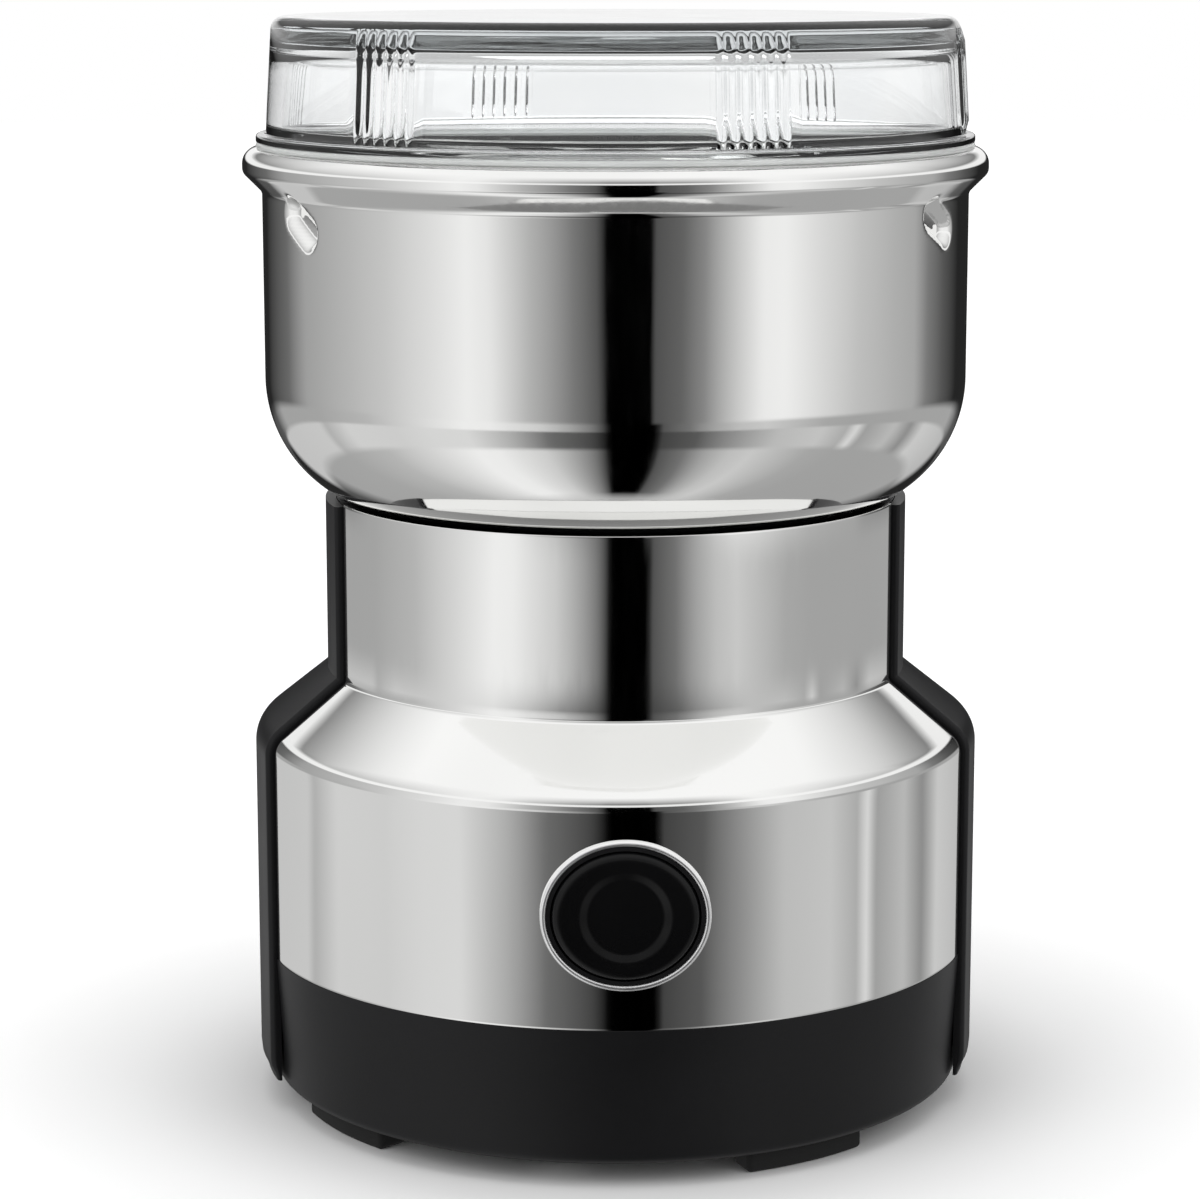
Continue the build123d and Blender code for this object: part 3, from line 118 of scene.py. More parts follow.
class GrinderBowl(PropertyGroup):
    rim: length("Rim radius", "Outside radius of the rolled rim", 56.0)
    wall: length("Wall radius", "Outside radius of the bowl's wall", 53.1)
    corner: length("Corner radius", "Outside radius of the lower corner", 20.0)
    sheet: length("Sheet thickness", "Thickness of the bowl's steel", 0.8)
    bottom: length("Floor height", "Height of the floor's underside", 91.4)
    top: length("Rim height", "Height of the rim's top", 145.8)
    rim_height: length("Rim depth", "Height of the whole rim", 6.5)
    flare: length("Flare height", "Height over which the wall flares out to the rim", 2.9)
    rim_fillet: length("Flare rounding", "Roundings at both ends of the flare", 1.4)
    rim_shoulder: length("Rim bevel", "Width of the bevel on the rim's outer top edge", 1.4)
    rim_bead: length("Rim edge rounding", "Rounding of the bevel's edges", 2.3)
    lip: length("Inner lip", "Rounding at the rim's inner edge", 0.4)
    hole: length("Centre hole", "Radius of the hole for the shaft seal", 7.0)
    lug_z: length("Lug height", "Height of the middle of the pressed lugs", 136.1)
    lug_length: length("Lug length", "Overall length of a pressed lug", 10.5)
    lug_width: length("Lug width", "Overall width of a pressed lug", 5.2)
    lug_depth: length("Lug depth", "How deep a lug is pressed in", 1.6)
    lug_slant: turn("Lug slant", "Slope of the lugs, down towards the right", 28.0)
    lug_azimuth: turn("First lug", "Direction of the first lug from the front", 60.0)


class GrinderLid(PropertyGroup):
    wall_radius: length("Wall radius", "Outside radius of the wall at the flange", 52.4)
    top_radius: length("Top radius", "Outside radius of the wall at the top", 51.3)
    flange_radius: length("Flange radius", "Outside radius of the flange", 53.9)
    skirt_radius: length("Skirt radius", "Outside radius of the skirt inside the bowl", 50.2)
    skirt_wall: length("Skirt wall", "Thickness of the skirt", 2.2)
    wall: length("Wall thickness", "Thickness of the wall", 2.4)
    plate: length("Top thickness", "Thickness of the flat top", 4.0)
    top_fillet: length("Top edge rounding", "Radius of the rounding round the top", 2.0)
    inner_fillet: length("Inner rounding", "Radius of the rounding inside under the top", 3.0)
    seal_z: length("Flange height", "Height of the flange's underside", 146.6)
    flange: length("Flange thickness", "Thickness of the flange", 1.2)
    top_z: length("Top height", "Height of the lid's top", 165.1)
    skirt_z: length("Skirt height", "Height of the skirt's lower edge", 128.6)
    pin_z: length("Pin height", "Height of the locking pins", 131.0)
    pin: length("Pin radius", "Radius of the locking pins", 1.6)
    pin_reach: length("Pin reach", "Distance of the pins' ends from the axis", 51.85)
    lock_turn: turn("Lock turn", "How far the lid turns to lock", 22.0)
    rib_height: length("Rib height", "How far the grip ribs stand out", 0.6)
    rib_pitch: length("Rib pitch", "Distance from rib to rib", 1.95)
    rib_azimuth: turn("First rib group", "Direction of the first group of ribs from the front", 20.0)
    rib_groups: IntProperty(name="Rib groups", description="Number of rib groups", default=6, min=1)
    ribs: IntProperty(name="Ribs", description="Ribs in one group", default=6, min=1)


class GrinderButton(PropertyGroup):
    z: length("Button height", "Height of the button's middle above the table", 41.0)
    width: length("Half width", "Half of the button's width", 10.5)
    height: length("Half height", "Half of the button's height", 9.3)
    front: length("Face distance", "Distance of the button's face from the axis", 55.9)
    depth: length("Depth", "Depth of the button cap", 4.5)
    wall: length("Wall thickness", "Thickness of the cap's side wall", 1.4)
    face: length("Face thickness", "Thickness of the cap's face", 2.2)
    edge: length("Edge rounding", "Rounding of the face's edge", 1.2)
    dish: length("Dish radius", "Radius of the shallow dish in the face", 6.2)
    dish_depth: length("Dish depth", "Depth of the dish", 0.5)
    stem: length("Stem radius", "Radius of the stem behind the cap", 2.4)
    stem_end: length("Stem end", "Distance of the stem's end from the axis", 43.1)
    ring_width: length("Ring width", "Width of the bright ring", 0.85)
    ring_proud: length("Ring height", "How far the ring stands above the band", 0.75)
    ring_edge: length("Ring edge", "Rounding of the ring's edges", 0.42)
    ring_gap: length("Ring gap", "Distance from the button to the ring's inside", 0.77)
    hole_gap: length("Hole gap", "Distance from the button to the panel's opening", 0.95)
    travel: length("Travel", "How far the button is pushed", 2.5)
    spring_seat: length("Spring seat", "Distance of the return spring's seat from the axis", 48.5)
    spring_gap: length("Spring gap", "Gap at each end of the spring", 0.02)
    spring: length("Spring radius", "Radius of the spring's coils to the middle of the wire", 4.0)
    wire: length("Wire radius", "Radius of the spring's wire", 0.25)
    turns: IntProperty(name="Spring turns", description="Turns of the return spring", default=4, min=1)


class GrinderGland(PropertyGroup):
    z: length("Gland height", "Height of the cord gland's axis", 13.8)
    bore: length("Bore radius", "Radius of the bore for the cord", 3.2)
    tube: length("Tube radius", "Outside radius of the gland's tube", 4.6)
    flange: length("Flange radius", "Outside radius of the flange", 6.6)
    inner: length("Inner end", "Distance of the inner end from the axis", 46.55)
    face: length("Flange back", "Distance of the flange's back from the axis", 53.1)
    outer: length("Outer face", "Distance of the flange's face from the axis", 55.7)
    fillet: length("Rounding", "Rounding of the flange's face", 0.9)


class GrinderColours(PropertyGroup):
    steel: tone("Polished steel", "Mirror polished stainless steel", 0.86, 0.86, 0.85)
    plastic: tone("Black plastic", "Satin black plastic of housing and strips", 0.0045, 0.0045, 0.005)
    button: tone("Button plastic", "Glossier black plastic of the button", 0.0016, 0.0016, 0.0018)
    rubber: tone("Rubber", "Black rubber of feet and gland", 0.010, 0.010, 0.010)
    floor: tone("Floor", "Pale studio floor", 0.84, 0.84, 0.84)


class GrinderSettings(PropertyGroup):
    housing: PointerProperty(type=GrinderHousing)
    bowl: PointerProperty(type=GrinderBowl)
    lid: PointerProperty(type=GrinderLid)
    button: PointerProperty(type=GrinderButton)
    gland: PointerProperty(type=GrinderGland)
    colours: PointerProperty(type=GrinderColours)


# ---------------------------------------------------------------- lines and surfaces
def rounded(points, radii, steps=8):
    """A polyline whose inner corners are arcs. Each arc touches both runs, radius / tan(half) from
    the corner, and its centre is on the bisector, radius / sin(half) from the corner."""
    points = np.asarray(points, float)
    line = [points[:1]]
    t = np.linspace(0, 1, steps + 1)[:, None]
    for before, corner, after, radius in zip(points[:-2], points[1:-1], points[2:], radii):
        if radius <= 0:
            line.append(corner[None])
            continue
        a = (before - corner) / np.linalg.norm(before - corner)
        b = (after - corner) / np.linalg.norm(after - corner)
        half = np.arccos(np.clip(a @ b, -1, 1)) / 2
        centre = corner + (a + b) / np.linalg.norm(a + b) * radius / sin(half)
        start = corner + a * radius / tan(half) - centre
        end = corner + b * radius / tan(half) - centre
        swing = pi - 2 * half
        line.append(centre + (np.sin((1 - t) * swing) * start + np.sin(t * swing) * end) / sin(swing))
    line.append(points[-1:])
    return np.concatenate(line)


def spaced(line, step):
    """The same line with each run cut into equal parts no longer than step."""
    runs = np.diff(line, axis=0)
    parts = np.maximum(np.ceil(np.linalg.norm(runs, axis=1) / step), 1).astype(int)
    run = np.repeat(np.arange(len(parts)), parts)
    share = (np.arange(parts.sum()) - np.repeat(np.cumsum(parts) - parts, parts)) / parts[run]
    return np.concatenate([line[run] + share[:, None] * runs[run], line[-1:]])


def levelled(line, levels):
    """The line with one more point wherever a run crosses one of the levels in height."""
    made = []
    for start, end in zip(line[:-1], line[1:]):
        low, high = sorted((start[1], end[1]))
        crossed = levels[(levels > low + 1e-5) & (levels < high - 1e-5)]
        share = np.sort((crossed - start[1]) / (end[1] - start[1])) if len(crossed) else crossed
        made.append(start + np.concatenate([[0.0], share])[:, None] * (end - start))
    return np.concatenate([*made, line[-1:]])


def arc_line(centre, radius, start, end, steps):
    """Points on a circle in the (r, z) plane, its angle going evenly from start to end."""
    angle = np.radians(np.linspace(start, end, steps))
    return np.stack([centre[0] + radius * np.cos(angle), centre[1] + radius * np.sin(angle)], 1)


def around(radius, azimuth, height):
    """A point at a radius, an azimuth from the front and a height: (r sin a, -r cos a, z)."""
    radius, azimuth, height = np.broadcast_arrays(radius, azimuth, height)
    return np.stack([radius * np.sin(azimuth), -radius * np.cos(azimuth), height], -1)


def full_circle(columns):
    """Evenly spaced azimuths round the whole circle, without the repeated last one."""
    return np.linspace(-pi, pi, columns, endpoint=False)


def wrapped(angle):
    """The same angle from -pi up to pi."""
    return (angle + pi) % (2 * pi) - pi


def nearest(angles, places):
    """Each angle's distance from the nearest of the places."""
    return np.abs(wrapped(angles[:, None] - places)).min(1)


def thirds(first):
    """Three azimuths, a third of the circle apart."""
    return first + np.arange(3) * 2 * pi / 3


def refined(columns, places, half, count, clear):
    """Azimuths round the whole circle: count of them within half of each place, and the evenly
    spaced ones that are further than clear from every place."""
    dense = wrapped((places[:, None] + np.linspace(-half, half, count)).ravel())
    even = full_circle(columns)
    return np.unique(np.concatenate([even[nearest(even, places) > clear], dense]))


def sheet_part(points, close_rows=False, close_columns=True, keep=None):
    """A grid of points (rows, columns, 3) as a part: its vertices and the quads between neighbouring
    points, all of them or those marked in keep."""
    rows, columns = points.shape[:2]
    i, j = np.meshgrid(np.arange(rows if close_rows else rows - 1),
                       np.arange(columns if close_columns else columns - 1), indexing="ij")
    here, below, right = i * columns, (i + 1) % rows * columns, (j + 1) % columns
    faces = np.stack([here + j, here + right, below + right, below + j], -1)
    return points.reshape(-1, 3), faces.reshape(-1, 4) if keep is None else faces[keep]


def smooth_step(t):
    """0 below 0, 1 above 1 and 3t^2 - 2t^3 between."""
    t = np.clip(t, 0, 1)
    return t * t * (3 - 2 * t)


def mesh_of(name, part):
    """A mesh made of one part."""
    points, faces = part
    mesh = bpy.data.meshes.new(name)
    mesh.from_pydata(points.tolist(), [], faces.tolist())
    return mesh


def make_piece(name, parts, body, slot, node, sharp=35, thickness=0.0, edge=0.0):
    """One finished object in place of a node, from its parts, with doubled points merged and faces
    turned outwards. It gets a wall's thickness inwards and a bevelled edge if asked for."""
    shell = bmesh.new()
    for part in parts:
        made = mesh_of(name, part)
        shell.from_mesh(made)
        bpy.data.meshes.remove(made)
    bmesh.ops.remove_doubles(shell, verts=shell.verts, dist=2e-6)
    bmesh.ops.recalc_face_normals(shell, faces=shell.faces)
    mesh = bpy.data.meshes.new(name)
    shell.to_mesh(mesh)
    shell.free()
    piece = bpy.data.objects.new(name, mesh)
    bpy.context.scene.collection.objects.link(piece)
    if thickness:
        wall = piece.modifiers.new("Wall", "SOLIDIFY")
        wall.thickness = thickness
        wall.offset = -1
        wall.use_even_offset = True
    if edge:
        bevel = piece.modifiers.new("Edge", "BEVEL")
        bevel.width = edge
        bevel.segments = 2
        bevel.limit_method = "ANGLE"
        bevel.angle_limit = radians(60)
    if thickness or edge:
        seen = piece.evaluated_get(bpy.context.evaluated_depsgraph_get())
        piece.data = bpy.data.meshes.new_from_object(seen)
        piece.modifiers.clear()
        bpy.data.meshes.remove(mesh)
    piece.data.name = name
    piece.data.shade_smooth()
    piece.data.set_sharp_from_angle(angle=radians(sharp))
    piece.data.materials.append(finishes[slot])
    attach(piece, body)
    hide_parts(node)
    return piece


# An oval opening through an upright wall: its direction, height and half sizes, and how far its
# window of quads reaches to each side (an angle) and up and down.
Hole = namedtuple("Hole", "azimuth z half_width half_height reach rise")


def cut_hole(points, angles, rows, hole, radius_at, keep, steps=10):
    """Open a window of quads round a hole and fill it up to the oval. Points between the window's
    edge and the oval are even mixes of both, put back on the wall: x across, z up, and the azimuth
    asin(x / r(z)) from the hole's middle. Returns the filling and the oval's points."""
    off = wrapped(angles - hole.azimuth)
    columns = np.flatnonzero(np.abs(off) <= hole.reach)
    if hole.azimuth > pi / 2:
        columns = columns[np.argsort(off[columns])]
    heights = points[rows, 0, 2]
    inside = rows[np.abs(heights - hole.z) <= hole.rise]
    inside = inside[np.argsort(points[inside, 0, 2])]
    low, high = inside.min(), inside.max()
    keep[low:high, columns[:-1]] = False
    ring = np.concatenate([
        np.stack([np.full(len(columns) - 1, inside[0]), columns[:-1]], 1),
        np.stack([inside[:-1], np.full(len(inside) - 1, columns[-1])], 1),
        np.stack([np.full(len(columns) - 1, inside[-1]), columns[:0:-1]], 1),
        np.stack([inside[:0:-1], np.full(len(inside) - 1, columns[0])], 1),
    ])
    z = points[ring[:, 0], ring[:, 1], 2]
    x = radius_at(z) * np.sin(off[ring[:, 1]])
    around_oval = np.arctan2((z - hole.z) / hole.half_height, x / hole.half_width)
    oval_x = hole.half_width * np.cos(around_oval)
    oval_z = hole.z + hole.half_height * np.sin(around_oval)
    t = np.linspace(0, 1, steps + 1)[:, None] ** 1.3
    mixed_x = oval_x + t * (x - oval_x)
    mixed_z = oval_z + t * (z - oval_z)
    r = radius_at(mixed_z)
    filling = around(r, hole.azimuth + np.arcsin(mixed_x / r), mixed_z)
    filling[-1] = points[ring[:, 0], ring[:, 1]]
    return sheet_part(filling), filling[0]


# ---------------------------------------------------------------- finishes
def fill(tree, socket, value):
    """Set a socket by another node's output, a number, a vector, or a grey or colour for a colour."""
    if isinstance(value, bpy.types.NodeSocket):
        tree.links.new(value, socket)
    elif socket.type == "RGBA":
        socket.default_value = (*value, 1) if isinstance(value, tuple) else (value, value, value, 1)
    else:
        socket.default_value = value


def give(tree, node, **sockets):
    """Fill a node's sockets, named with _ for a space."""
    for name, value in sockets.items():
        fill(tree, node.inputs[name.replace("_", " ")], value)


def added(tree, kind, output, settings=(), **sockets):
    """One output of a new node with these settings and sockets."""
    node = tree.nodes.new(kind)
    for name, value in settings:
        setattr(node, name, value)
    give(tree, node, **sockets)
    return node.outputs[output]


def empty_tree(name):
    """A new material with its tree, which holds only the output, and the output."""
    material = bpy.data.materials.new(name)
    material.use_nodes = True
    tree = material.node_tree
    tree.nodes.clear()
    return material, tree, tree.nodes.new("ShaderNodeOutputMaterial")


def object_place(tree):
    """Object coordinates."""
    return added(tree, "ShaderNodeTexCoord", "Object")


def principled(name):
    """A new material with its tree, its Principled shader and its Object coordinates."""
    material, tree, out = empty_tree(name)
    shader = tree.nodes.new("ShaderNodeBsdfPrincipled")
    give(tree, out, Surface=shader.outputs["BSDF"])
    return material, tree, shader, object_place(tree)


def stretched(tree, source, scale):
    """Coordinates multiplied by a scale per axis."""
    return added(tree, "ShaderNodeMapping", "Vector", Vector=source, Scale=scale)


def noise(tree, source, scale, detail=3.0):
    """A noise texture's value, its scale in cycles per metre."""
    return added(tree, "ShaderNodeTexNoise", "Fac", Vector=source, Scale=scale, Detail=detail,
                 Roughness=0.55)


def bands(tree, source, spacing):
    """A wave texture's value in level bands, which repeats 20 / (2 pi) times a metre at scale 1."""
    return added(tree, "ShaderNodeTexWave", "Fac", [("bands_direction", "Z")], Vector=source,
                 Scale=1 / spacing * 2 * pi / 20, Distortion=0.0)


def ranged(tree, source, low, high, start=0.3, end=0.7):
    """A value from start to end brought to low to high."""
    return added(tree, "ShaderNodeMapRange", "Result", Value=source, From_Min=start, From_Max=end,
                 To_Min=low, To_Max=high)


def mixed(tree, share, first, second, kind="MIX"):
    """The first colour where share is 0 and the second, or both multiplied, where it is 1."""
    return added(tree, "ShaderNodeMix", "Result", [("data_type", "RGBA"), ("blend_type", kind)],
                 Factor=share, A=first, B=second)


def tinted(tree, source, first, second, start=0.3, end=0.7):
    """A colour between two, by a value from start to end."""
    return mixed(tree, ranged(tree, source, 0, 1, start, end), first, second)


def bumped(tree, shader, sources):
    """Chain bumps, each a height value and its depth in metres, onto the shader's normal."""
    chain = {}
    for height, depth in sources:
        chain["Normal"] = added(tree, "ShaderNodeBump", "Normal", Height=height, Strength=1.0,
                                Distance=depth, **chain)
    give(tree, shader, **chain)


def plain_finish(name, colours, rough, metallic=0.0, patch=60.0, stretch=(1, 1, 1), grain=2500.0,
                 grain_depth=0.00001, spacing=0.0, band_depth=0.0, **sockets):
    """A finish made of broad patches of two tones, a roughness that follows them, a fine grain and,
    if asked for, evenly spaced bands such as turning marks, wire or laminations."""
    material, tree, shader, place = principled(name)
    across = stretched(tree, place, stretch)
    broad = noise(tree, across, patch)
    colour = tinted(tree, broad, *colours)
    bumps = [(noise(tree, across, grain, 2.0), grain_depth)]
    if spacing:
        ridge = bands(tree, place, spacing)
        groove = tinted(tree, ridge, (0.45, 0.45, 0.45), (1, 1, 1), 0.1, 0.6)
        colour = mixed(tree, 1.0, colour, groove, "MULTIPLY")
        bumps.append((ridge, band_depth))
    give(tree, shader, Base_Color=colour, Roughness=ranged(tree, broad, *rough), Metallic=metallic,
         **sockets)
    bumped(tree, shader, bumps)
    return material


def polished_steel(colour):
    """Mirror polished sheet: faint broad waves from pressing, fine wipe marks and small tone shifts."""
    material, tree, shader, place = principled("polished_steel")
    waves = noise(tree, stretched(tree, place, (1, 1, 0.35)), 42, 1.0)
    smears = noise(tree, stretched(tree, place, (1, 1, 0.12)), 900)
    darker = tuple(0.96 * part for part in colour)
    give(tree, shader, Base_Color=tinted(tree, waves, darker, colour), Metallic=1.0,
         Roughness=ranged(tree, smears, 0.035, 0.075))
    bumped(tree, shader, [(waves, 0.00022), (smears, 0.0000004)])
    return material


def clear_plastic():
    """Clear moulded plastic with faint flow lines, a slightly uneven gloss and a grey tint in depth."""
    material, tree, shader, place = principled("clear_plastic")
    flow = noise(tree, stretched(tree, place, (1, 1, 0.4)), 55, 1.5)
    haze = noise(tree, place, 700, 2.0)
    give(tree, shader, Base_Color=tinted(tree, flow, (0.955, 0.965, 0.97), (0.985, 0.99, 0.99)),
         Roughness=ranged(tree, haze, 0.0, 0.03), Transmission_Weight=1.0, IOR=1.49)
    bumped(tree, shader, [(flow, 0.00004), (haze, 0.0000004)])
    depth = added(tree, "ShaderNodeVolumeAbsorption", "Volume", Color=(0.30, 0.34, 0.36), Density=9.0)
    give(tree, tree.nodes["Material Output"], Volume=depth)
    return material


def satin_black(name, colour, rough, grain_depth):
    """Moulded black plastic or rubber: a fine even grain and slow changes of tone and gloss."""
    lighter = tuple(1.5 * part for part in colour)
    return plain_finish(name, (tuple(colour), lighter), rough, patch=35, grain=3200,
                        grain_depth=grain_depth, Specular_IOR_Level=0.2)


PLAIN_FINISHES = {  # two tones, two roughnesses, how metallic, and plain_finish's other settings
    "clear_silicone": (((0.80, 0.81, 0.80), (0.88, 0.89, 0.88)), (0.3, 0.45), 0,
                       {"patch": 80, "Transmission_Weight": 0.55, "IOR": 1.41}),
    "chrome_ring": (((0.86, 0.86, 0.87), (0.92, 0.92, 0.92)), (0.28, 0.34), 1,
                    {"patch": 300, "grain": 1500, "grain_depth": 0.000001}),
    "brushed_steel": (((0.58, 0.58, 0.57), (0.70, 0.70, 0.69)), (0.16, 0.34), 1,
                      {"patch": 260, "stretch": (1, 8, 1), "grain": 1800, "grain_depth": 0.000006}),
    "bright_steel": (((0.50, 0.50, 0.51), (0.68, 0.68, 0.67)), (0.22, 0.4), 1,
                     {"patch": 420, "grain_depth": 0.000006}),
    "motor_steel": (((0.10, 0.11, 0.12), (0.20, 0.21, 0.22)), (0.35, 0.6), 0.6,
                    {"patch": 150, "spacing": 0.001, "band_depth": 0.00006}),
    "cast_aluminium": (((0.46, 0.46, 0.46), (0.62, 0.62, 0.61)), (0.4, 0.6), 1,
                       {"patch": 180, "grain": 1400, "grain_depth": 0.00005}),
    "bracket_plastic": (((0.055, 0.055, 0.06), (0.11, 0.11, 0.115)), (0.4, 0.6), 0,
                        {"patch": 120, "stretch": (1, 1, 0.3), "grain_depth": 0.00003}),
    "copper_wire": (((0.48, 0.17, 0.06), (0.68, 0.30, 0.12)), (0.22, 0.4), 0.75,
                    {"patch": 240, "spacing": 0.0006, "band_depth": 0.0002}),
    "commutator_copper": (((0.55, 0.24, 0.13), (0.72, 0.38, 0.24)), (0.18, 0.34), 1,
                          {"patch": 300, "stretch": (1, 1, 6), "spacing": 0.0008, "band_depth": 0.00001}),
    "insulator": (((0.15, 0.05, 0.02), (0.28, 0.11, 0.05)), (0.25, 0.4), 0, {"patch": 260}),
    "bronze": (((0.38, 0.22, 0.09), (0.56, 0.38, 0.18)), (0.3, 0.5), 1,
               {"patch": 900, "grain": 3500, "grain_depth": 0.00003}),
    "brass_parts": (((0.58, 0.41, 0.14), (0.76, 0.58, 0.26)), (0.2, 0.38), 1,
                    {"patch": 240, "grain_depth": 0.000008}),
    "carbon": (((0.02, 0.02, 0.022), (0.06, 0.06, 0.065)), (0.35, 0.6), 0.1,
               {"patch": 1200, "grain": 4000, "grain_depth": 0.00003}),
    "fibre": (((0.20, 0.06, 0.035), (0.34, 0.13, 0.08)), (0.6, 0.8), 0,
              {"patch": 700, "grain_depth": 0.00004}),
    "fan_plastic": (((0.03, 0.03, 0.033), (0.07, 0.07, 0.075)), (0.35, 0.55), 0,
                    {"patch": 160, "grain_depth": 0.00002}),
    "capacitor_case": (((0.50, 0.31, 0.03), (0.66, 0.44, 0.07)), (0.25, 0.4), 0, {"patch": 200}),
    "terminal_plastic": (((0.66, 0.63, 0.54), (0.76, 0.74, 0.66)), (0.4, 0.55), 0,
                         {"patch": 200, "grain_depth": 0.000015, "Subsurface_Weight": 0.15}),
}


def make_finishes(colours):
    """Every finish of the object by the name of its slot."""
    made = {name: plain_finish(name, *plain, **more) for name, (*plain, more) in PLAIN_FINISHES.items()}
    made["polished_steel"] = polished_steel(tuple(colours.steel))
    made["clear_plastic"] = clear_plastic()
    for name, colour, rough, grain_depth in (
        ("black_plastic", colours.plastic, (0.34, 0.44), 0.000012),
        ("button_plastic", colours.button, (0.22, 0.30), 0.000004),
        ("dark_rubber", colours.rubber, (0.62, 0.8), 0.00003),
    ):
        made[name] = satin_black(name, colour, rough, grain_depth)
    return made


# ---------------------------------------------------------------- housing
def skin_line(h, depth, bottom, top, ridge=None):
    """The housing's line at a depth below the steel, as the model's source draws it: the same band,
    shoulder and neck, moved in by the depth and down by depth times tan(half the shoulder's turn)."""
    shift = tan(atan2(h.band - h.neck, h.shoulder_z - h.ridge_z) / 2)
    fillet = max(h.ridge_fillet - depth, 0.0003) if ridge is None else ridge
    return rounded(
        [(h.band - depth, bottom), (h.band - depth, h.ridge_z - depth * shift),
         (h.neck - depth, h.shoulder_z - depth * shift), (h.neck - depth, top)],
        [fillet, h.neck_fillet + max(depth, 0)], steps=12)


def edged(line, margin):
    """The line with one more point close to each end, so that shading turns only at its edge."""
    first = line[0] + (line[1] - line[0]) * margin / np.linalg.norm(line[1] - line[0])
    last = line[-1] + (line[-2] - line[-1]) * margin / np.linalg.norm(line[-2] - line[-1])
    return np.concatenate([line[:1], first[None], line[1:-1], last[None], line[-1:]])


def button_hole(s):
    """The oval opening round the push button, with a window wide enough for its filling."""
    b = s.button
    return Hole(0.0, b.z, b.width + b.hole_gap, b.height + b.hole_gap, radians(17), 0.0128)


def level(radius):
    """A wall's radius by height, the same at every height."""
    return lambda z: radius + 0 * z


def strip_half(h):
    """Half of the arc that a side strip covers, between the open grooves beside the panels."""
    return pi / 2 - h.panel_angle - h.strip_groove / h.band


class GRINDER_OT_panels(Operator):
    """Build the front and rear steel panels"""
    bl_idname = "grinder.panels"
    bl_label = "Steel Panels"

    def execute(self, context):
        s = context.scene.grinder
        h = s.housing
        line = edged(spaced(skin_line(h, 0, h.steel_z, h.neck_z), ROW_STEP), EDGE_ROW)
        spread = np.linspace(-h.panel_angle, h.panel_angle, 143)
        margin = EDGE_ROW / h.band
        spread = np.sort(np.concatenate([spread, [spread[0] + margin, spread[-1] - margin]]))
        for name, middle in (("front_panel", 0.0), ("rear_panel", pi)):
            points = around(line[:, :1], middle + spread, line[:, 1:])
            keep = np.ones((len(line) - 1, len(spread) - 1), bool)
            parts = []
            if name == "front_panel":
                straight = np.flatnonzero(np.abs(line[:, 0] - h.band) < 1e-7)
                parts.append(cut_hole(points, spread, straight, button_hole(s), level(h.band), keep)[0])
            parts.append(sheet_part(points, close_columns=False, keep=keep))
            make_piece("steel_" + name, parts, "housing", "polished_steel", name, thickness=h.sheet,
                       edge=h.sheet_edge)
        return {"FINISHED"}


class GRINDER_OT_housing(Operator):
    """Build the black housing with its base band, lip, deck and openings"""
    bl_idname = "grinder.housing"
    bl_label = "Housing"

    def execute(self, context):
        s = context.scene.grinder
        h, bowl, gland = s.housing, s.bowl, s.gland
        depth = h.sheet + h.skin_gap
        bowl_gap, strip_gap = 0.0003, 0.00015  # open gaps to the bowl and to the side strips
        outer_radius, inner_radius = h.band - depth, h.band - depth - h.wall
        core = skin_line(h, depth, h.steel_z, h.lip_z)
        inner = skin_line(h, depth + h.wall, h.base_z, h.deck_bottom)[::-1]
        middle = np.array([bowl.wall - bowl.corner, bowl.bottom + bowl.corner])
        seat = bowl.corner + bowl_gap
        cup = arc_line(middle, seat, degrees(np.arcsin((h.lip_z - middle[1]) / seat)), -90, 14)
        deck = np.array([(h.pocket, cup[-1, 1]), (h.pocket, h.deck_top), (h.deck_hole, h.deck_top),
                         (h.deck_hole, h.deck_bottom)])
        foot = rounded([(inner_radius, h.base_z), (h.base_edge, h.base_z), (h.band, h.steel_z),
                        (outer_radius, h.steel_z)], [h.base_fillet, 0.00015])
        levels = np.arange(h.base_z + 0.0023, h.ridge_z, 0.0016)
        line = levelled(np.concatenate([foot, core[1:], cup, deck, inner]), levels)
        strip = strip_half(h) + strip_gap / h.band
        edge = radians(0.1)
        marks = [side * pi / 2 + end * (strip + shift)
                 for side in (-1, 1) for end in (-1, 1) for shift in (0, edge)]
        angles = np.unique(np.concatenate([full_circle(288), marks]))
        behind = np.abs(np.abs(angles) - pi / 2) <= strip + edge / 2
        recessed = np.minimum(line[:, :1], outer_radius - strip_gap)
        radius = np.where(behind & (line[:, 1:] <= h.steel_z + 1e-6), recessed, line[:, :1])
        points = around(radius, angles, line[:, 1:])
        keep = np.ones((len(line), len(angles)), bool)
        parts = []
        top_row = int(np.argmax(line[:, 1]))
        numbers = np.arange(len(line))
        core_rows = numbers[(np.abs(line[:, 0] - outer_radius) < 1e-7) & (numbers < top_row)
                            & (line[:, 1] > h.steel_z + 1e-5)]
        inner_rows = numbers[(np.abs(line[:, 0] - inner_radius) < 1e-7) & (numbers > top_row)]
        inner_wall = inner_rows, level(inner_radius)
        slope = (h.band - h.base_edge) / (h.steel_z - h.base_z)
        base_rows = numbers[(numbers < top_row) & (line[:, 1] < h.steel_z - 1e-5)
                            & (line[:, 1] > h.base_z + h.base_fillet + 0.0005)]
        rear = Hole(pi, gland.z, gland.tube, gland.tube, radians(8.5), 0.0072)
        for hole, walls in (
            (button_hole(s), ((core_rows, level(outer_radius)), inner_wall)),
            (rear, ((base_rows, lambda z: h.base_edge + slope * (z - h.base_z)), inner_wall)),
        ):
            ovals = []
            for rows, radius_at in walls:
                filling, oval = cut_hole(points, angles, rows, hole, radius_at, keep)
                parts.append(filling)
                ovals.append(oval)
            parts.append(sheet_part(np.stack(ovals)))
        parts.append(sheet_part(points, close_rows=True, keep=keep))
        make_piece("housing_shell", parts, "housing", "black_plastic", "main_housing")
        return {"FINISHED"}


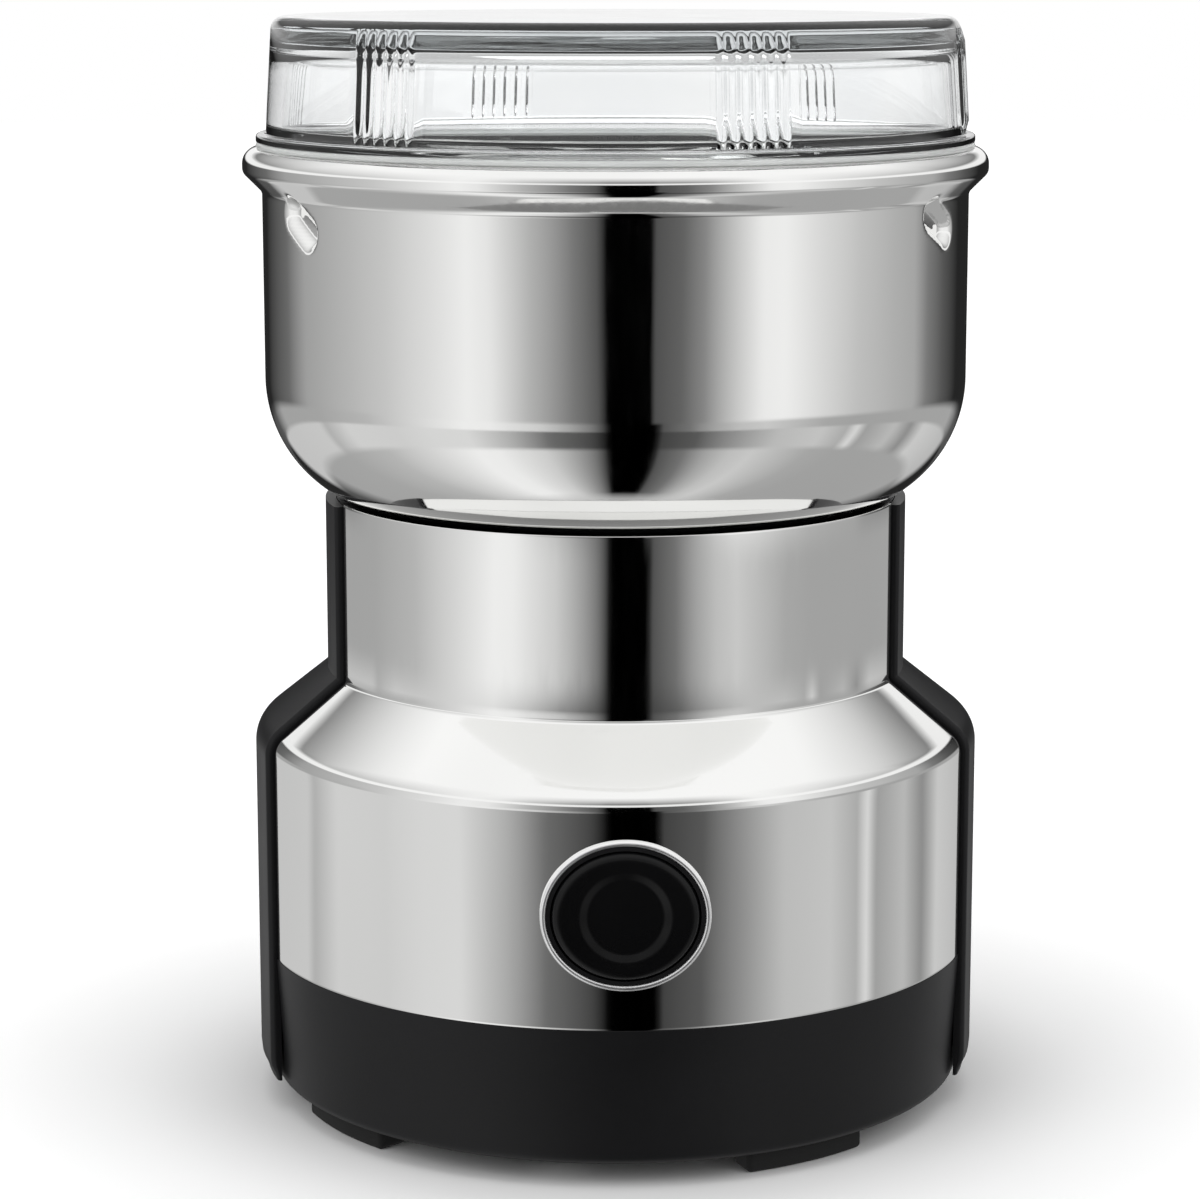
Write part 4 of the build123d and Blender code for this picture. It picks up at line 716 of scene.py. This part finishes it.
class GRINDER_OT_strips(Operator):
    """Build the two black side strips"""
    bl_idname = "grinder.strips"
    bl_label = "Side Strips"

    def execute(self, context):
        h = context.scene.grinder.housing
        line = spaced(skin_line(h, h.sheet, h.strip_z, h.lip_z, ridge=h.ridge_fillet), ROW_STEP)
        run = np.gradient(line, axis=0)
        run /= np.linalg.norm(run, axis=1)[:, None]
        out = np.stack([run[:, 1], -run[:, 0]], 1)
        along = np.concatenate([[0], np.cumsum(np.linalg.norm(np.diff(line, axis=0), axis=1))])
        full = h.sheet + h.strip_proud
        rise = h.sheet + h.strip_proud * smooth_step(along / h.strip_rise)
        half = strip_half(h)
        edge_angle = h.strip_edge / h.band
        t = np.linspace(0, pi / 2, 9)
        corner = np.stack([-half + edge_angle * (1 - np.cos(t)), full - h.strip_edge * (1 - np.sin(t))], 1)
        flat = np.linspace(-half + edge_angle, half - edge_angle, 34)[1:-1]
        top = np.stack([flat, np.full_like(flat, full)], 1)
        walls = np.array([[-half, 0.0], [-half, (full - h.strip_edge) * 0.6]])
        left = np.concatenate([walls, corner])
        right = left[::-1] * (-1, 1)
        base = np.linspace(half, -half, 20)[1:-1]
        floor = np.stack([base, np.zeros_like(base)], 1)
        section = np.concatenate([left, top, right, floor])
        height = section[:, 1] * rise[:, None] / full
        radius = line[:, :1] + out[:, :1] * height
        z = np.clip(line[:, 1:] + out[:, 1:] * height, h.strip_z, h.lip_z)
        for name, middle in (("side_strip_left", -pi / 2), ("side_strip_right", pi / 2)):
            points = around(radius, middle + section[:, 0], z)
            first = np.arange(len(section))
            ends = np.array([first, (len(line) - 1) * len(section) + first])
            caps = points.reshape(-1, 3), ends
            make_piece("black_" + name, [sheet_part(points), caps], "housing", "black_plastic", name,
                       sharp=40)
        return {"FINISHED"}


# ---------------------------------------------------------------- bowl
class GRINDER_OT_bowl(Operator):
    """Build the steel bowl with its rolled rim and three pressed lugs"""
    bl_idname = "grinder.bowl"
    bl_label = "Bowl"

    def execute(self, context):
        b = context.scene.grinder.bowl
        middle = (b.wall - b.corner, b.bottom + b.corner)
        inside = b.wall - b.sheet
        rim = rounded(
            [(b.wall, middle[1]), (b.wall, b.top - b.rim_height),
             (b.rim, b.top - b.rim_height + b.flare), (b.rim, b.top - b.rim_shoulder),
             (b.rim - b.rim_shoulder, b.top), (inside + b.lip, b.top), (inside, b.top - b.lip),
             (inside, middle[1])],
            [b.rim_fillet, b.rim_fillet, b.rim_bead, b.rim_bead, b.lip / 2, b.lip / 2], steps=10)
        line = np.concatenate([
            [(b.hole, b.bottom)],
            arc_line(middle, b.corner, -90, 0, 40)[:-1],
            rim,
            arc_line(middle, b.corner - b.sheet, 0, -90, 40)[1:],
            [(b.hole, b.bottom + b.sheet)],
        ])
        lug_zone = 0.0068  # how far above and below its middle a lug may reach
        line = spaced(levelled(line, b.lug_z + np.arange(-0.0065, lug_zone, 0.0005)), ROW_STEP)
        lugs = thirds(b.lug_azimuth)
        angles = refined(240, lugs, radians(11), 51, radians(11.3))
        away = wrapped(angles[:, None] - lugs)
        across = away[np.arange(len(angles)), np.abs(away).argmin(1)] * b.wall
        up = line[:, 1:] - b.lug_z
        along = across * cos(b.lug_slant) - up * sin(b.lug_slant)
        aside = across * sin(b.lug_slant) + up * cos(b.lug_slant)
        straight = (b.lug_length - b.lug_width) / 2
        distance = np.hypot(np.maximum(np.abs(along) - straight, 0), aside)
        dent = b.lug_depth * smooth_step((b.lug_width / 2 + 0.0003 - distance) / 0.0021)
        upright = (line[:, :1] > inside - 0.0002) & (np.abs(up) < lug_zone)
        points = around(line[:, :1] - np.where(upright, dent, 0), angles, line[:, 1:])
        make_piece("steel_bowl", [sheet_part(points, close_rows=True)], "housing", "polished_steel",
                   "grinding_bowl", sharp=50)
        return {"FINISHED"}


# ---------------------------------------------------------------- lid
class GRINDER_OT_lid(Operator):
    """Build the clear lid with its grip ribs, skirt and locking pins"""
    bl_idname = "grinder.lid"
    bl_label = "Lid"

    def execute(self, context):
        s = context.scene.grinder
        d = s.lid
        flange_top = d.seal_z + d.flange
        inner_skirt = d.skirt_radius - d.skirt_wall
        line = rounded(
            [(0, d.top_z), (d.top_radius, d.top_z), (d.wall_radius, flange_top),
             (d.flange_radius, flange_top), (d.flange_radius, d.seal_z), (d.skirt_radius, d.seal_z),
             (d.skirt_radius, d.skirt_z), (inner_skirt, d.skirt_z), (inner_skirt, d.seal_z),
             (d.wall_radius - d.wall, flange_top + d.flange), (d.top_radius - d.wall, d.top_z - d.plate),
             (0, d.top_z - d.plate)],
            [d.top_fillet, 0.0003, 0.0004, 0.0003, 0.0003, 0.0006, 0.0006, 0.0005, 0.0005,
             d.inner_fillet])
        line = spaced(line, 0.0018)
        step = d.rib_pitch / d.wall_radius
        groups = d.rib_azimuth + np.arange(d.rib_groups) * 2 * pi / d.rib_groups
        places = (groups[:, None] + (np.arange(d.ribs) - (d.ribs - 1) / 2) * step).ravel()
        angles = np.unique(np.round(refined(180, places, 0.45 * step, 11, 0.55 * step), 6))
        ridge = smooth_step(1 - nearest(angles, places) / (0.42 * step)) ** 0.8
        wall = (line[:, :1] > d.top_radius - 0.0002) & (line[:, 1:] > flange_top)
        rise = smooth_step((line[:, 1:] - flange_top) / 0.0012) * smooth_step(
            (d.top_z - d.top_fillet * 0.6 - line[:, 1:]) / 0.002)
        points = around(line[:, :1] + np.where(wall, d.rib_height * rise, 0) * ridge, angles, line[:, 1:])
        parts = [sheet_part(points)]
        start, bevel = d.skirt_radius - d.skirt_wall / 2, 0.0003
        rows = np.array([(0, start), (d.pin, start), (d.pin, d.pin_reach - bevel),
                         (d.pin - bevel, d.pin_reach), (0, d.pin_reach)])
        swing = full_circle(32)
        for azimuth in thirds(s.bowl.lug_azimuth) - d.lock_turn:
            side = rows[:, :1] * np.cos(swing)
            up = d.pin_z + rows[:, :1] * np.sin(swing)
            out = rows[:, 1:] + 0 * swing
            pin = np.stack([out * sin(azimuth) + side * cos(azimuth),
                            -out * cos(azimuth) + side * sin(azimuth), up], -1)
            parts.append(sheet_part(pin))
        lid = make_piece("clear_lid", parts, "lid", "clear_plastic", "lid", sharp=50)
        lid.visible_shadow = False
        return {"FINISHED"}


class GRINDER_OT_seal(Operator):
    """Build the silicone ring under the lid's flange"""
    bl_idname = "grinder.seal"
    bl_label = "Lid Seal"

    def execute(self, context):
        s = context.scene.grinder
        d, top = s.lid, s.bowl.top
        inner, outer = d.skirt_radius + 2 * TOUCH, d.flange_radius
        low, high = top + TOUCH, d.seal_z - TOUCH
        start = (inner, (top + high) / 2)
        line = rounded([start, (inner, high), (outer, high), (outer, low), (inner, low), start],
                       [0.0002, 0.0003, 0.0003, 0.0002], steps=4)[:-1]
        line = spaced(line, 0.0015)
        points = around(line[:, :1], full_circle(240), line[:, 1:])
        make_piece("silicone_seal", [sheet_part(points, close_rows=True)], "lid_ring", "clear_silicone",
                   "lid_seal")
        return {"FINISHED"}


# ---------------------------------------------------------------- button and ring
def oval_rows(rows, z, angles):
    """Ovals about the button's axis: (w cos t, y, z + h sin t) for each row's half sizes and depth."""
    width, height, y = rows[:, :1], rows[:, 1:2], rows[:, 2:]
    return np.stack([width * np.cos(angles), y + 0 * angles, z + height * np.sin(angles)], -1)


class GRINDER_OT_button(Operator):
    """Build the black push button with its shallow dish"""
    bl_idname = "grinder.button"
    bl_label = "Push Button"

    def execute(self, context):
        b = context.scene.grinder.button
        back = b.front - b.depth
        inner = b.width - b.wall
        dish, face = b.front - b.dish_depth, b.front - b.face
        dish_edge = b.dish + 0.0004
        line = rounded(
            [(0, dish), (b.dish - 0.0008, dish), (dish_edge, b.front), (b.width, b.front), (b.width, back),
             (inner, back), (inner, face), (b.stem, face), (b.stem, b.stem_end), (0, b.stem_end)],
            [0.0012, 0.0012, b.edge, 0.0003, 0.0003, 0.0004, 0.0004, 0.0003])
        line = spaced(line, 0.0008)
        flat = b.width - b.height
        height = line[:, 0] - flat * smooth_step((line[:, 0] - dish_edge) / (inner - dish_edge))
        rows = np.stack([line[:, 0], height, -line[:, 1]], 1)
        points = oval_rows(rows, b.z, full_circle(144))
        make_piece("push_button", [sheet_part(points)], "button", "button_plastic", "button_cap", sharp=50)
        return {"FINISHED"}


def tube(middle, along, out, radius, columns):
    """Rings of points round a line of middles: each middle plus radius times (cos a out + sin a side),
    where side is at right angles to the line's direction and to out."""
    side = np.cross(along / np.linalg.norm(along, axis=1)[:, None], out)
    swing = full_circle(columns)[:, None]
    spoke = np.cos(swing) * out[:, None] + np.sin(swing) * side[:, None]
    return middle[:, None] + radius[:, None, None] * spoke


class GRINDER_OT_spring(Operator):
    """Build the return spring behind the button, as it stands with the button not pushed"""
    bl_idname = "grinder.spring"
    bl_label = "Return Spring"

    def execute(self, context):
        b = context.scene.grinder.button
        face = b.front - b.face
        start = b.spring_seat + b.spring_gap + b.wire
        run = face - b.spring_gap - b.wire - start
        t = np.linspace(0, 1, 32 * b.turns + 1)
        t = np.concatenate([t[:1], t, t[-1:]])
        sweep = 2 * pi * b.turns
        across, up, zero = np.cos(sweep * t), np.sin(sweep * t), 0 * t
        middle = np.stack([b.spring * across, -(start + run * t), b.z + b.spring * up], 1)
        out = np.stack([across, zero, up], 1)
        along = np.stack([-sweep * b.spring * up, zero - run, sweep * b.spring * across], 1)
        wire = np.full(len(t), b.wire)
        wire[[0, -1]] = 0
        points = tube(middle, along, out, wire, 12)
        spring = make_piece("return_spring", [sheet_part(points)], "housing", "bright_steel",
                            "button_spring", sharp=60)
        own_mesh(spring)
        return {"FINISHED"}


class GRINDER_OT_ring(Operator):
    """Build the bright ring round the push button"""
    bl_idname = "grinder.ring"
    bl_label = "Button Ring"

    def execute(self, context):
        s = context.scene.grinder
        b, band = s.button, s.housing.band + 2 * TOUCH
        front = s.housing.band + b.ring_proud
        angles = full_circle(180)
        t = np.linspace(0, pi / 2, 7)
        corner = np.stack([b.ring_edge * (1 - np.cos(t)), front - b.ring_edge * (1 - np.sin(t))], 1)
        other = np.stack([b.ring_width - corner[::-1, 0], corner[::-1, 1]], 1)
        shape = np.concatenate([[(0.0, 0.0)], corner, other, [(b.ring_width, 0.0)]])
        rows = []
        for offset, y in shape:
            x = (b.width + b.ring_gap + offset) * np.cos(angles)
            z = b.z + (b.height + b.ring_gap + offset) * np.sin(angles)
            depth = np.maximum(y, np.sqrt(band ** 2 - x ** 2))
            rows.append(np.stack([x, -depth, z], 1))
        make_piece("bright_ring", [sheet_part(np.stack(rows), close_rows=True)], "housing", "chrome_ring",
                   "button_bezel", sharp=50)
        return {"FINISHED"}


# ---------------------------------------------------------------- cord gland
class GRINDER_OT_gland(Operator):
    """Build the rubber cord gland at the rear"""
    bl_idname = "grinder.gland"
    bl_label = "Cord Gland"

    def execute(self, context):
        g = context.scene.grinder.gland
        start = (g.bore, (g.inner + g.outer) / 2)
        line = rounded(
            [start, (g.bore, g.outer), (g.flange, g.outer), (g.flange, g.face), (g.tube, g.face),
             (g.tube, g.inner), (g.bore, g.inner), start],
            [0.0005, g.fillet, 0.0003, 0.0002, 0.0004, 0.0004], steps=6)[:-1]
        line = spaced(line, 0.0008)
        swing = full_circle(72)
        points = np.stack([line[:, :1] * np.cos(swing), line[:, 1:] + 0 * swing,
                           g.z + line[:, :1] * np.sin(swing)], -1)
        make_piece("rubber_gland", [sheet_part(points, close_rows=True)], "housing", "dark_rubber",
                   "cord_gland")
        return {"FINISHED"}


# ---------------------------------------------------------------- finishes of the model's own nodes
class GRINDER_OT_finishes(Operator):
    """Make every finish and give the model's own nodes theirs"""
    bl_idname = "grinder.finishes"
    bl_label = "Finishes"

    def execute(self, context):
        finishes.update(make_finishes(context.scene.grinder.colours))
        for part in frame["record"]["subparts"]:
            node = frame["nodes"][part["node"]]
            for held in node.material_slots:
                held.material = finishes[part["material_slot"]]
        return {"FINISHED"}


# ---------------------------------------------------------------- studio
STUDIO_RADIUS = 0.4
STUDIO_Z = 0.08  # height of the studio dome's middle
OVERHEAD, BELOW = 1.08, 0.6  # brightness of the dome's top and bottom
EVEN_LIGHT = 0.80  # brightness of the world for matte surfaces
BOWL_CARDS = (  # azimuth in degrees and brightness of the cards that the bowl reflects
    (-180, 0.02), (-150, 0.02), (-142, 0.07), (-127, 0.16), (-114, 0.40), (-92, 0.52), (-75, 0.64),
    (-59, 0.82), (-46, 1.00), (-39, 0.93), (-27, 0.53), (-14, 0.22), (-6, 0.09), (-5, 0.0), (8.5, 0.0),
    (9.5, 0.09), (18, 0.14), (25, 0.27), (37, 0.74), (43, 0.97), (50, 1.00), (63, 0.80), (77, 0.61),
    (94, 0.49), (104, 0.44), (112, 0.22), (124, 0.10), (138, 0.02), (180, 0.02),
)
NECK_CARDS = (  # the same for the cards that the neck reflects
    (-180, 0.02), (-150, 0.10), (-138, 0.41), (-109, 0.43), (-85, 0.53), (-65, 0.76), (-48, 1.00),
    (-40, 0.98), (-24, 0.71), (-9, 0.22), (-5, 0.05), (-4, 0.0), (11, 0.0), (12, 0.09), (21, 0.19),
    (29, 0.42), (37, 0.60), (45, 0.68), (53, 0.59), (66, 0.45), (78, 0.42), (138, 0.41), (150, 0.10),
    (180, 0.02),
)
BAND_CARDS = (  # the same for the cards that the lower band reflects
    (-180, 0.03), (-153, 0.02), (-148, 0.60), (-112, 0.66), (-108, 0.50), (-96, 0.72), (-74, 0.70),
    (-60, 0.78), (-48, 0.80), (-34, 0.50), (-22, 0.17), (-9, 0.07), (-4, 0.0), (11, 0.0), (12, 0.06),
    (24, 0.11), (38, 0.36), (50, 0.58), (66, 0.64), (76, 0.48), (80, 0.80), (84, 0.40), (98, 0.56),
    (108, 0.30), (118, 0.66), (144, 0.52), (150, 0.02),
)
# Shares or brightnesses by the height above the dome's middle: where the belts of the neck's and the
# band's cards lie, where the dome's top and bottom take over, and what is mirrored twice.
NECK_BELT = ((-0.085, 1), (-0.080, 1), (-0.052, 1), (-0.037, 0))
BAND_BELT = ((-0.185, 0), (-0.165, 1), (-0.090, 1), (-0.082, 0))
FIRST_ENDS = (
    (-0.40, 1), (-0.39, 1), (-0.365, 0), (0.075, 0), (0.088, 0.9), (0.125, 0.9), (0.15, 0.2), (0.32, 1),
)
SECOND_LIGHT = ((-0.40, 0.20), (-0.36, 0.25), (-0.22, 0.45), (-0.12, 1.12))
# Light added to the floor by distance, and the world's brightness for clear plastic by direction
# The floor gets no added light close to the object: this is a painted shadow halo round the base.
FLOOR_LIFT_AND_PAINTED_SHADOW = ((0.0, 0.0), (0.058, 0.0), (0.075, 0.10), (0.11, 0.22), (0.22, 0.38), (0.5, 0.5))
CLEAR_BY_HEIGHT = ((-1, 0.6), (-0.75, 0.7), (-0.45, 1), (0.3, 1), (0.6, 0.62), (1, 0.5))
LAMPS = (  # name, azimuth in degrees, height, distance, width and power
    ("key", -48, 0.55, 0.85, 0.6, 2.2),
    ("fill", 58, 0.5, 0.85, 0.6, 1.6),
    ("top", 0, 1.0, 0.05, 0.7, 1.8),
)
LAMP_AIM = np.array([0, 0, 0.08])
CAMERA_AZIMUTH, CAMERA_TILT = radians(-1.5), radians(10.5)  # from the front, and down from level
CAMERA_DISTANCE, CAMERA_HEIGHT = 0.541, 0.1765
CAMERA_LENS, CAMERA_SENSOR, CAMERA_SHIFT = 107.1, 36.0, -15.5 / 1200


def calculated(tree, operation, *values):
    """A Math node on one or two values, each a number or another node's output."""
    node = tree.nodes.new("ShaderNodeMath")
    node.operation = operation
    for socket, value in zip(node.inputs, values):
        fill(tree, socket, value)
    return node.outputs["Value"]


def greys_by(tree, source, low, high, stops):
    """Grey levels along a value from low to high, straight from stop to stop."""
    ramp = tree.nodes.new("ShaderNodeValToRGB")
    elements = ramp.color_ramp.elements
    while len(elements) > 1:
        elements.remove(elements[-1])
    for number, (place, value) in enumerate(stops):
        share = (place - low) / (high - low)
        stop = elements[0] if number == 0 else elements.new(share)
        stop.position = share
        stop.color = (value, value, value, 1)
    give(tree, ramp, Fac=ranged(tree, source, 0, 1, low, high))
    return ramp.outputs["Color"]


def along_axes(tree, source):
    """The X, Y and Z values of coordinates."""
    node = tree.nodes.new("ShaderNodeSeparateXYZ")
    give(tree, node, Vector=source)
    return node.outputs


def ray(tree, kind):
    """A Light Path value, such as 1 for one kind of ray and 0 for others."""
    return added(tree, "ShaderNodeLightPath", kind)


def studio_cards():
    """Glow of the studio dome: upright light and dark cards by the azimuth atan2(x, -y) in three belts,
    an even brightness overhead and straight below, and a plain light for what is mirrored twice."""
    material, tree, out = empty_tree("studio_cards")
    x, y, z = along_axes(tree, object_place(tree))
    back = calculated(tree, "MULTIPLY", y, -1.0)
    azimuth = calculated(tree, "DEGREES", calculated(tree, "ARCTAN2", x, back))
    height = calculated(tree, "SUBTRACT", z, STUDIO_Z)
    turned = (azimuth, -180, 180)
    risen = (height, -STUDIO_RADIUS, STUDIO_RADIUS)
    colour = greys_by(tree, *turned, BOWL_CARDS)
    for belt, cards in ((NECK_BELT, NECK_CARDS), (BAND_BELT, BAND_CARDS)):
        colour = mixed(tree, greys_by(tree, *risen, belt), colour, greys_by(tree, *turned, cards))
    upper = calculated(tree, "GREATER_THAN", height, 0.0)
    colour = mixed(tree, greys_by(tree, *risen, FIRST_ENDS), colour, mixed(tree, upper, BELOW, OVERHEAD))
    again = calculated(tree, "GREATER_THAN", ray(tree, "Glossy Depth"), 1.5)
    colour = mixed(tree, again, colour, greys_by(tree, *risen, SECOND_LIGHT))
    give(tree, out, Surface=added(tree, "ShaderNodeEmission", "Emission", Color=colour))
    return material


def floor_with_painted_shadow(colour):
    """A matte pale floor with faint patches. What sees it directly or through clear plastic sees it
    brightened to white away from the object and not at all near it, which paints a darker shadow halo
    round the base on top of its real shadow."""
    material, tree, out = empty_tree("floor_with_painted_shadow")
    place = object_place(tree)
    patches = tinted(tree, noise(tree, place, 6), colour, tuple(0.985 * part for part in colour))
    matte = added(tree, "ShaderNodeBsdfDiffuse", "BSDF", Color=patches)
    seen = calculated(tree, "MAXIMUM", ray(tree, "Is Camera Ray"), ray(tree, "Is Transmission Ray"))
    away = tree.nodes.new("ShaderNodeVectorMath")
    away.operation = "LENGTH"
    fill(tree, away.inputs[0], place)
    # None of this light is added close to the object, which paints a darker shadow halo round the base.
    lift_and_painted_shadow = greys_by(tree, away.outputs["Value"], 0, 0.5, FLOOR_LIFT_AND_PAINTED_SHADOW)
    both = tree.nodes.new("ShaderNodeAddShader")
    fill(tree, both.inputs[0], matte)
    fill(tree, both.inputs[1], added(tree, "ShaderNodeEmission", "Emission", Color=lift_and_painted_shadow, Strength=seen))
    give(tree, out, Surface=both.outputs["Shader"])
    return material


def studio_world():
    """Even light on matte surfaces, white for what sees it directly or in gloss, and for clear plastic
    white near the horizon and darker overhead."""
    world = bpy.data.worlds.new("studio")
    world.use_nodes = True
    tree = world.node_tree
    tree.nodes.clear()
    seen = calculated(tree, "MAXIMUM", ray(tree, "Is Camera Ray"), ray(tree, "Is Glossy Ray"))
    direction = added(tree, "ShaderNodeTexCoord", "Generated")
    through = greys_by(tree, along_axes(tree, direction)["Z"], -1, 1, CLEAR_BY_HEIGHT)
    colour = mixed(tree, ray(tree, "Is Transmission Ray"), mixed(tree, seen, EVEN_LIGHT, 1.0), through)
    back = added(tree, "ShaderNodeBackground", "Background", Color=colour)
    give(tree, tree.nodes.new("ShaderNodeOutputWorld"), Surface=back)
    return world


def stage_piece(name, points, material):
    """A stage object made of one grid of points."""
    mesh = mesh_of(name, sheet_part(points))
    mesh.materials.append(material)
    mesh.shade_smooth()
    piece = bpy.data.objects.new(name, mesh)
    bpy.context.scene.collection.objects.link(piece)
    return piece


class GRINDER_OT_stage(Operator):
    """Set up the floor, the soft studio, the lights and the camera"""
    bl_idname = "grinder.stage"
    bl_label = "Studio"

    def execute(self, context):
        scene = context.scene
        swing = full_circle(96)
        rings = np.array([0.0, 0.15, 0.4, 1.0, 3.0])[:, None]
        shade = floor_with_painted_shadow(tuple(scene.grinder.colours.floor))
        floor = stage_piece("floor", around(rings, swing, 0.0), shade)
        floor.visible_glossy = False
        rise = np.radians(np.linspace(-90, 90, 49))[:, None]
        dome = around(STUDIO_RADIUS * np.cos(rise), swing, STUDIO_Z + STUDIO_RADIUS * np.sin(rise))
        cards = stage_piece("studio_cards", dome, studio_cards())
        for kind in ("camera", "diffuse", "transmission", "shadow"):
            setattr(cards, "visible_" + kind, False)
        scene.world = studio_world()
        for name, azimuth, height, distance, width, power in LAMPS:
            lamp = bpy.data.lights.new(name, "AREA")
            lamp.size = width
            lamp.energy = power
            holder = bpy.data.objects.new(name, lamp)
            spot = around(distance, radians(azimuth), height)
            holder.location = spot
            aim = LAMP_AIM - spot
            holder.rotation_euler = (np.arccos(-aim[2] / np.linalg.norm(aim)), 0, atan2(-aim[0], aim[1]))
            holder.visible_glossy = False
            scene.collection.objects.link(holder)
        camera = bpy.data.cameras.new("camera")
        camera.lens = CAMERA_LENS
        camera.sensor_width = CAMERA_SENSOR
        camera.shift_x = CAMERA_SHIFT
        camera.clip_start = 0.01
        holder = bpy.data.objects.new("camera", camera)
        holder.location = around(CAMERA_DISTANCE, CAMERA_AZIMUTH, CAMERA_HEIGHT)
        holder.rotation_euler = (pi / 2 - CAMERA_TILT, 0, CAMERA_AZIMUTH)
        scene.collection.objects.link(holder)
        scene.camera = holder
        scene.view_settings.view_transform = "Standard"
        return {"FINISHED"}


class GRINDER_PT_panel(Panel):
    """Buttons and settings of the grinder"""
    bl_idname = "GRINDER_PT_panel"
    bl_label = "Spice Grinder"
    bl_space_type = "VIEW_3D"
    bl_region_type = "UI"
    bl_category = "Grinder"

    def draw(self, context):
        for build in BUILDERS:
            self.layout.operator(build.bl_idname)
        for group in ("housing", "bowl", "lid", "button", "gland", "colours"):
            settings = getattr(context.scene.grinder, group)
            box = self.layout.box()
            box.label(text=group.capitalize())
            for name in settings.__annotations__:
                box.prop(settings, name)


GROUPS = (GrinderHousing, GrinderBowl, GrinderLid, GrinderButton, GrinderGland, GrinderColours,
          GrinderSettings)
BUILDERS = (GRINDER_OT_finishes, GRINDER_OT_housing, GRINDER_OT_panels, GRINDER_OT_strips, GRINDER_OT_bowl,
            GRINDER_OT_seal, GRINDER_OT_lid, GRINDER_OT_button, GRINDER_OT_spring, GRINDER_OT_ring,
            GRINDER_OT_gland, GRINDER_OT_stage)


def register():
    """Register every class and hang the settings on the scene."""
    for kind in (*GROUPS, *BUILDERS, GRINDER_PT_panel):
        bpy.utils.register_class(kind)
    bpy.types.Scene.grinder = PointerProperty(type=GrinderSettings)


def unregister():
    """Undo register."""
    del bpy.types.Scene.grinder
    for kind in reversed((*GROUPS, *BUILDERS, GRINDER_PT_panel)):
        bpy.utils.unregister_class(kind)


def main():
    """Build everything in order."""
    register()
    for build in BUILDERS:
        group, name = build.bl_idname.split(".")
        getattr(getattr(bpy.ops, group), name)()


if __name__ == "__main__":
    main()
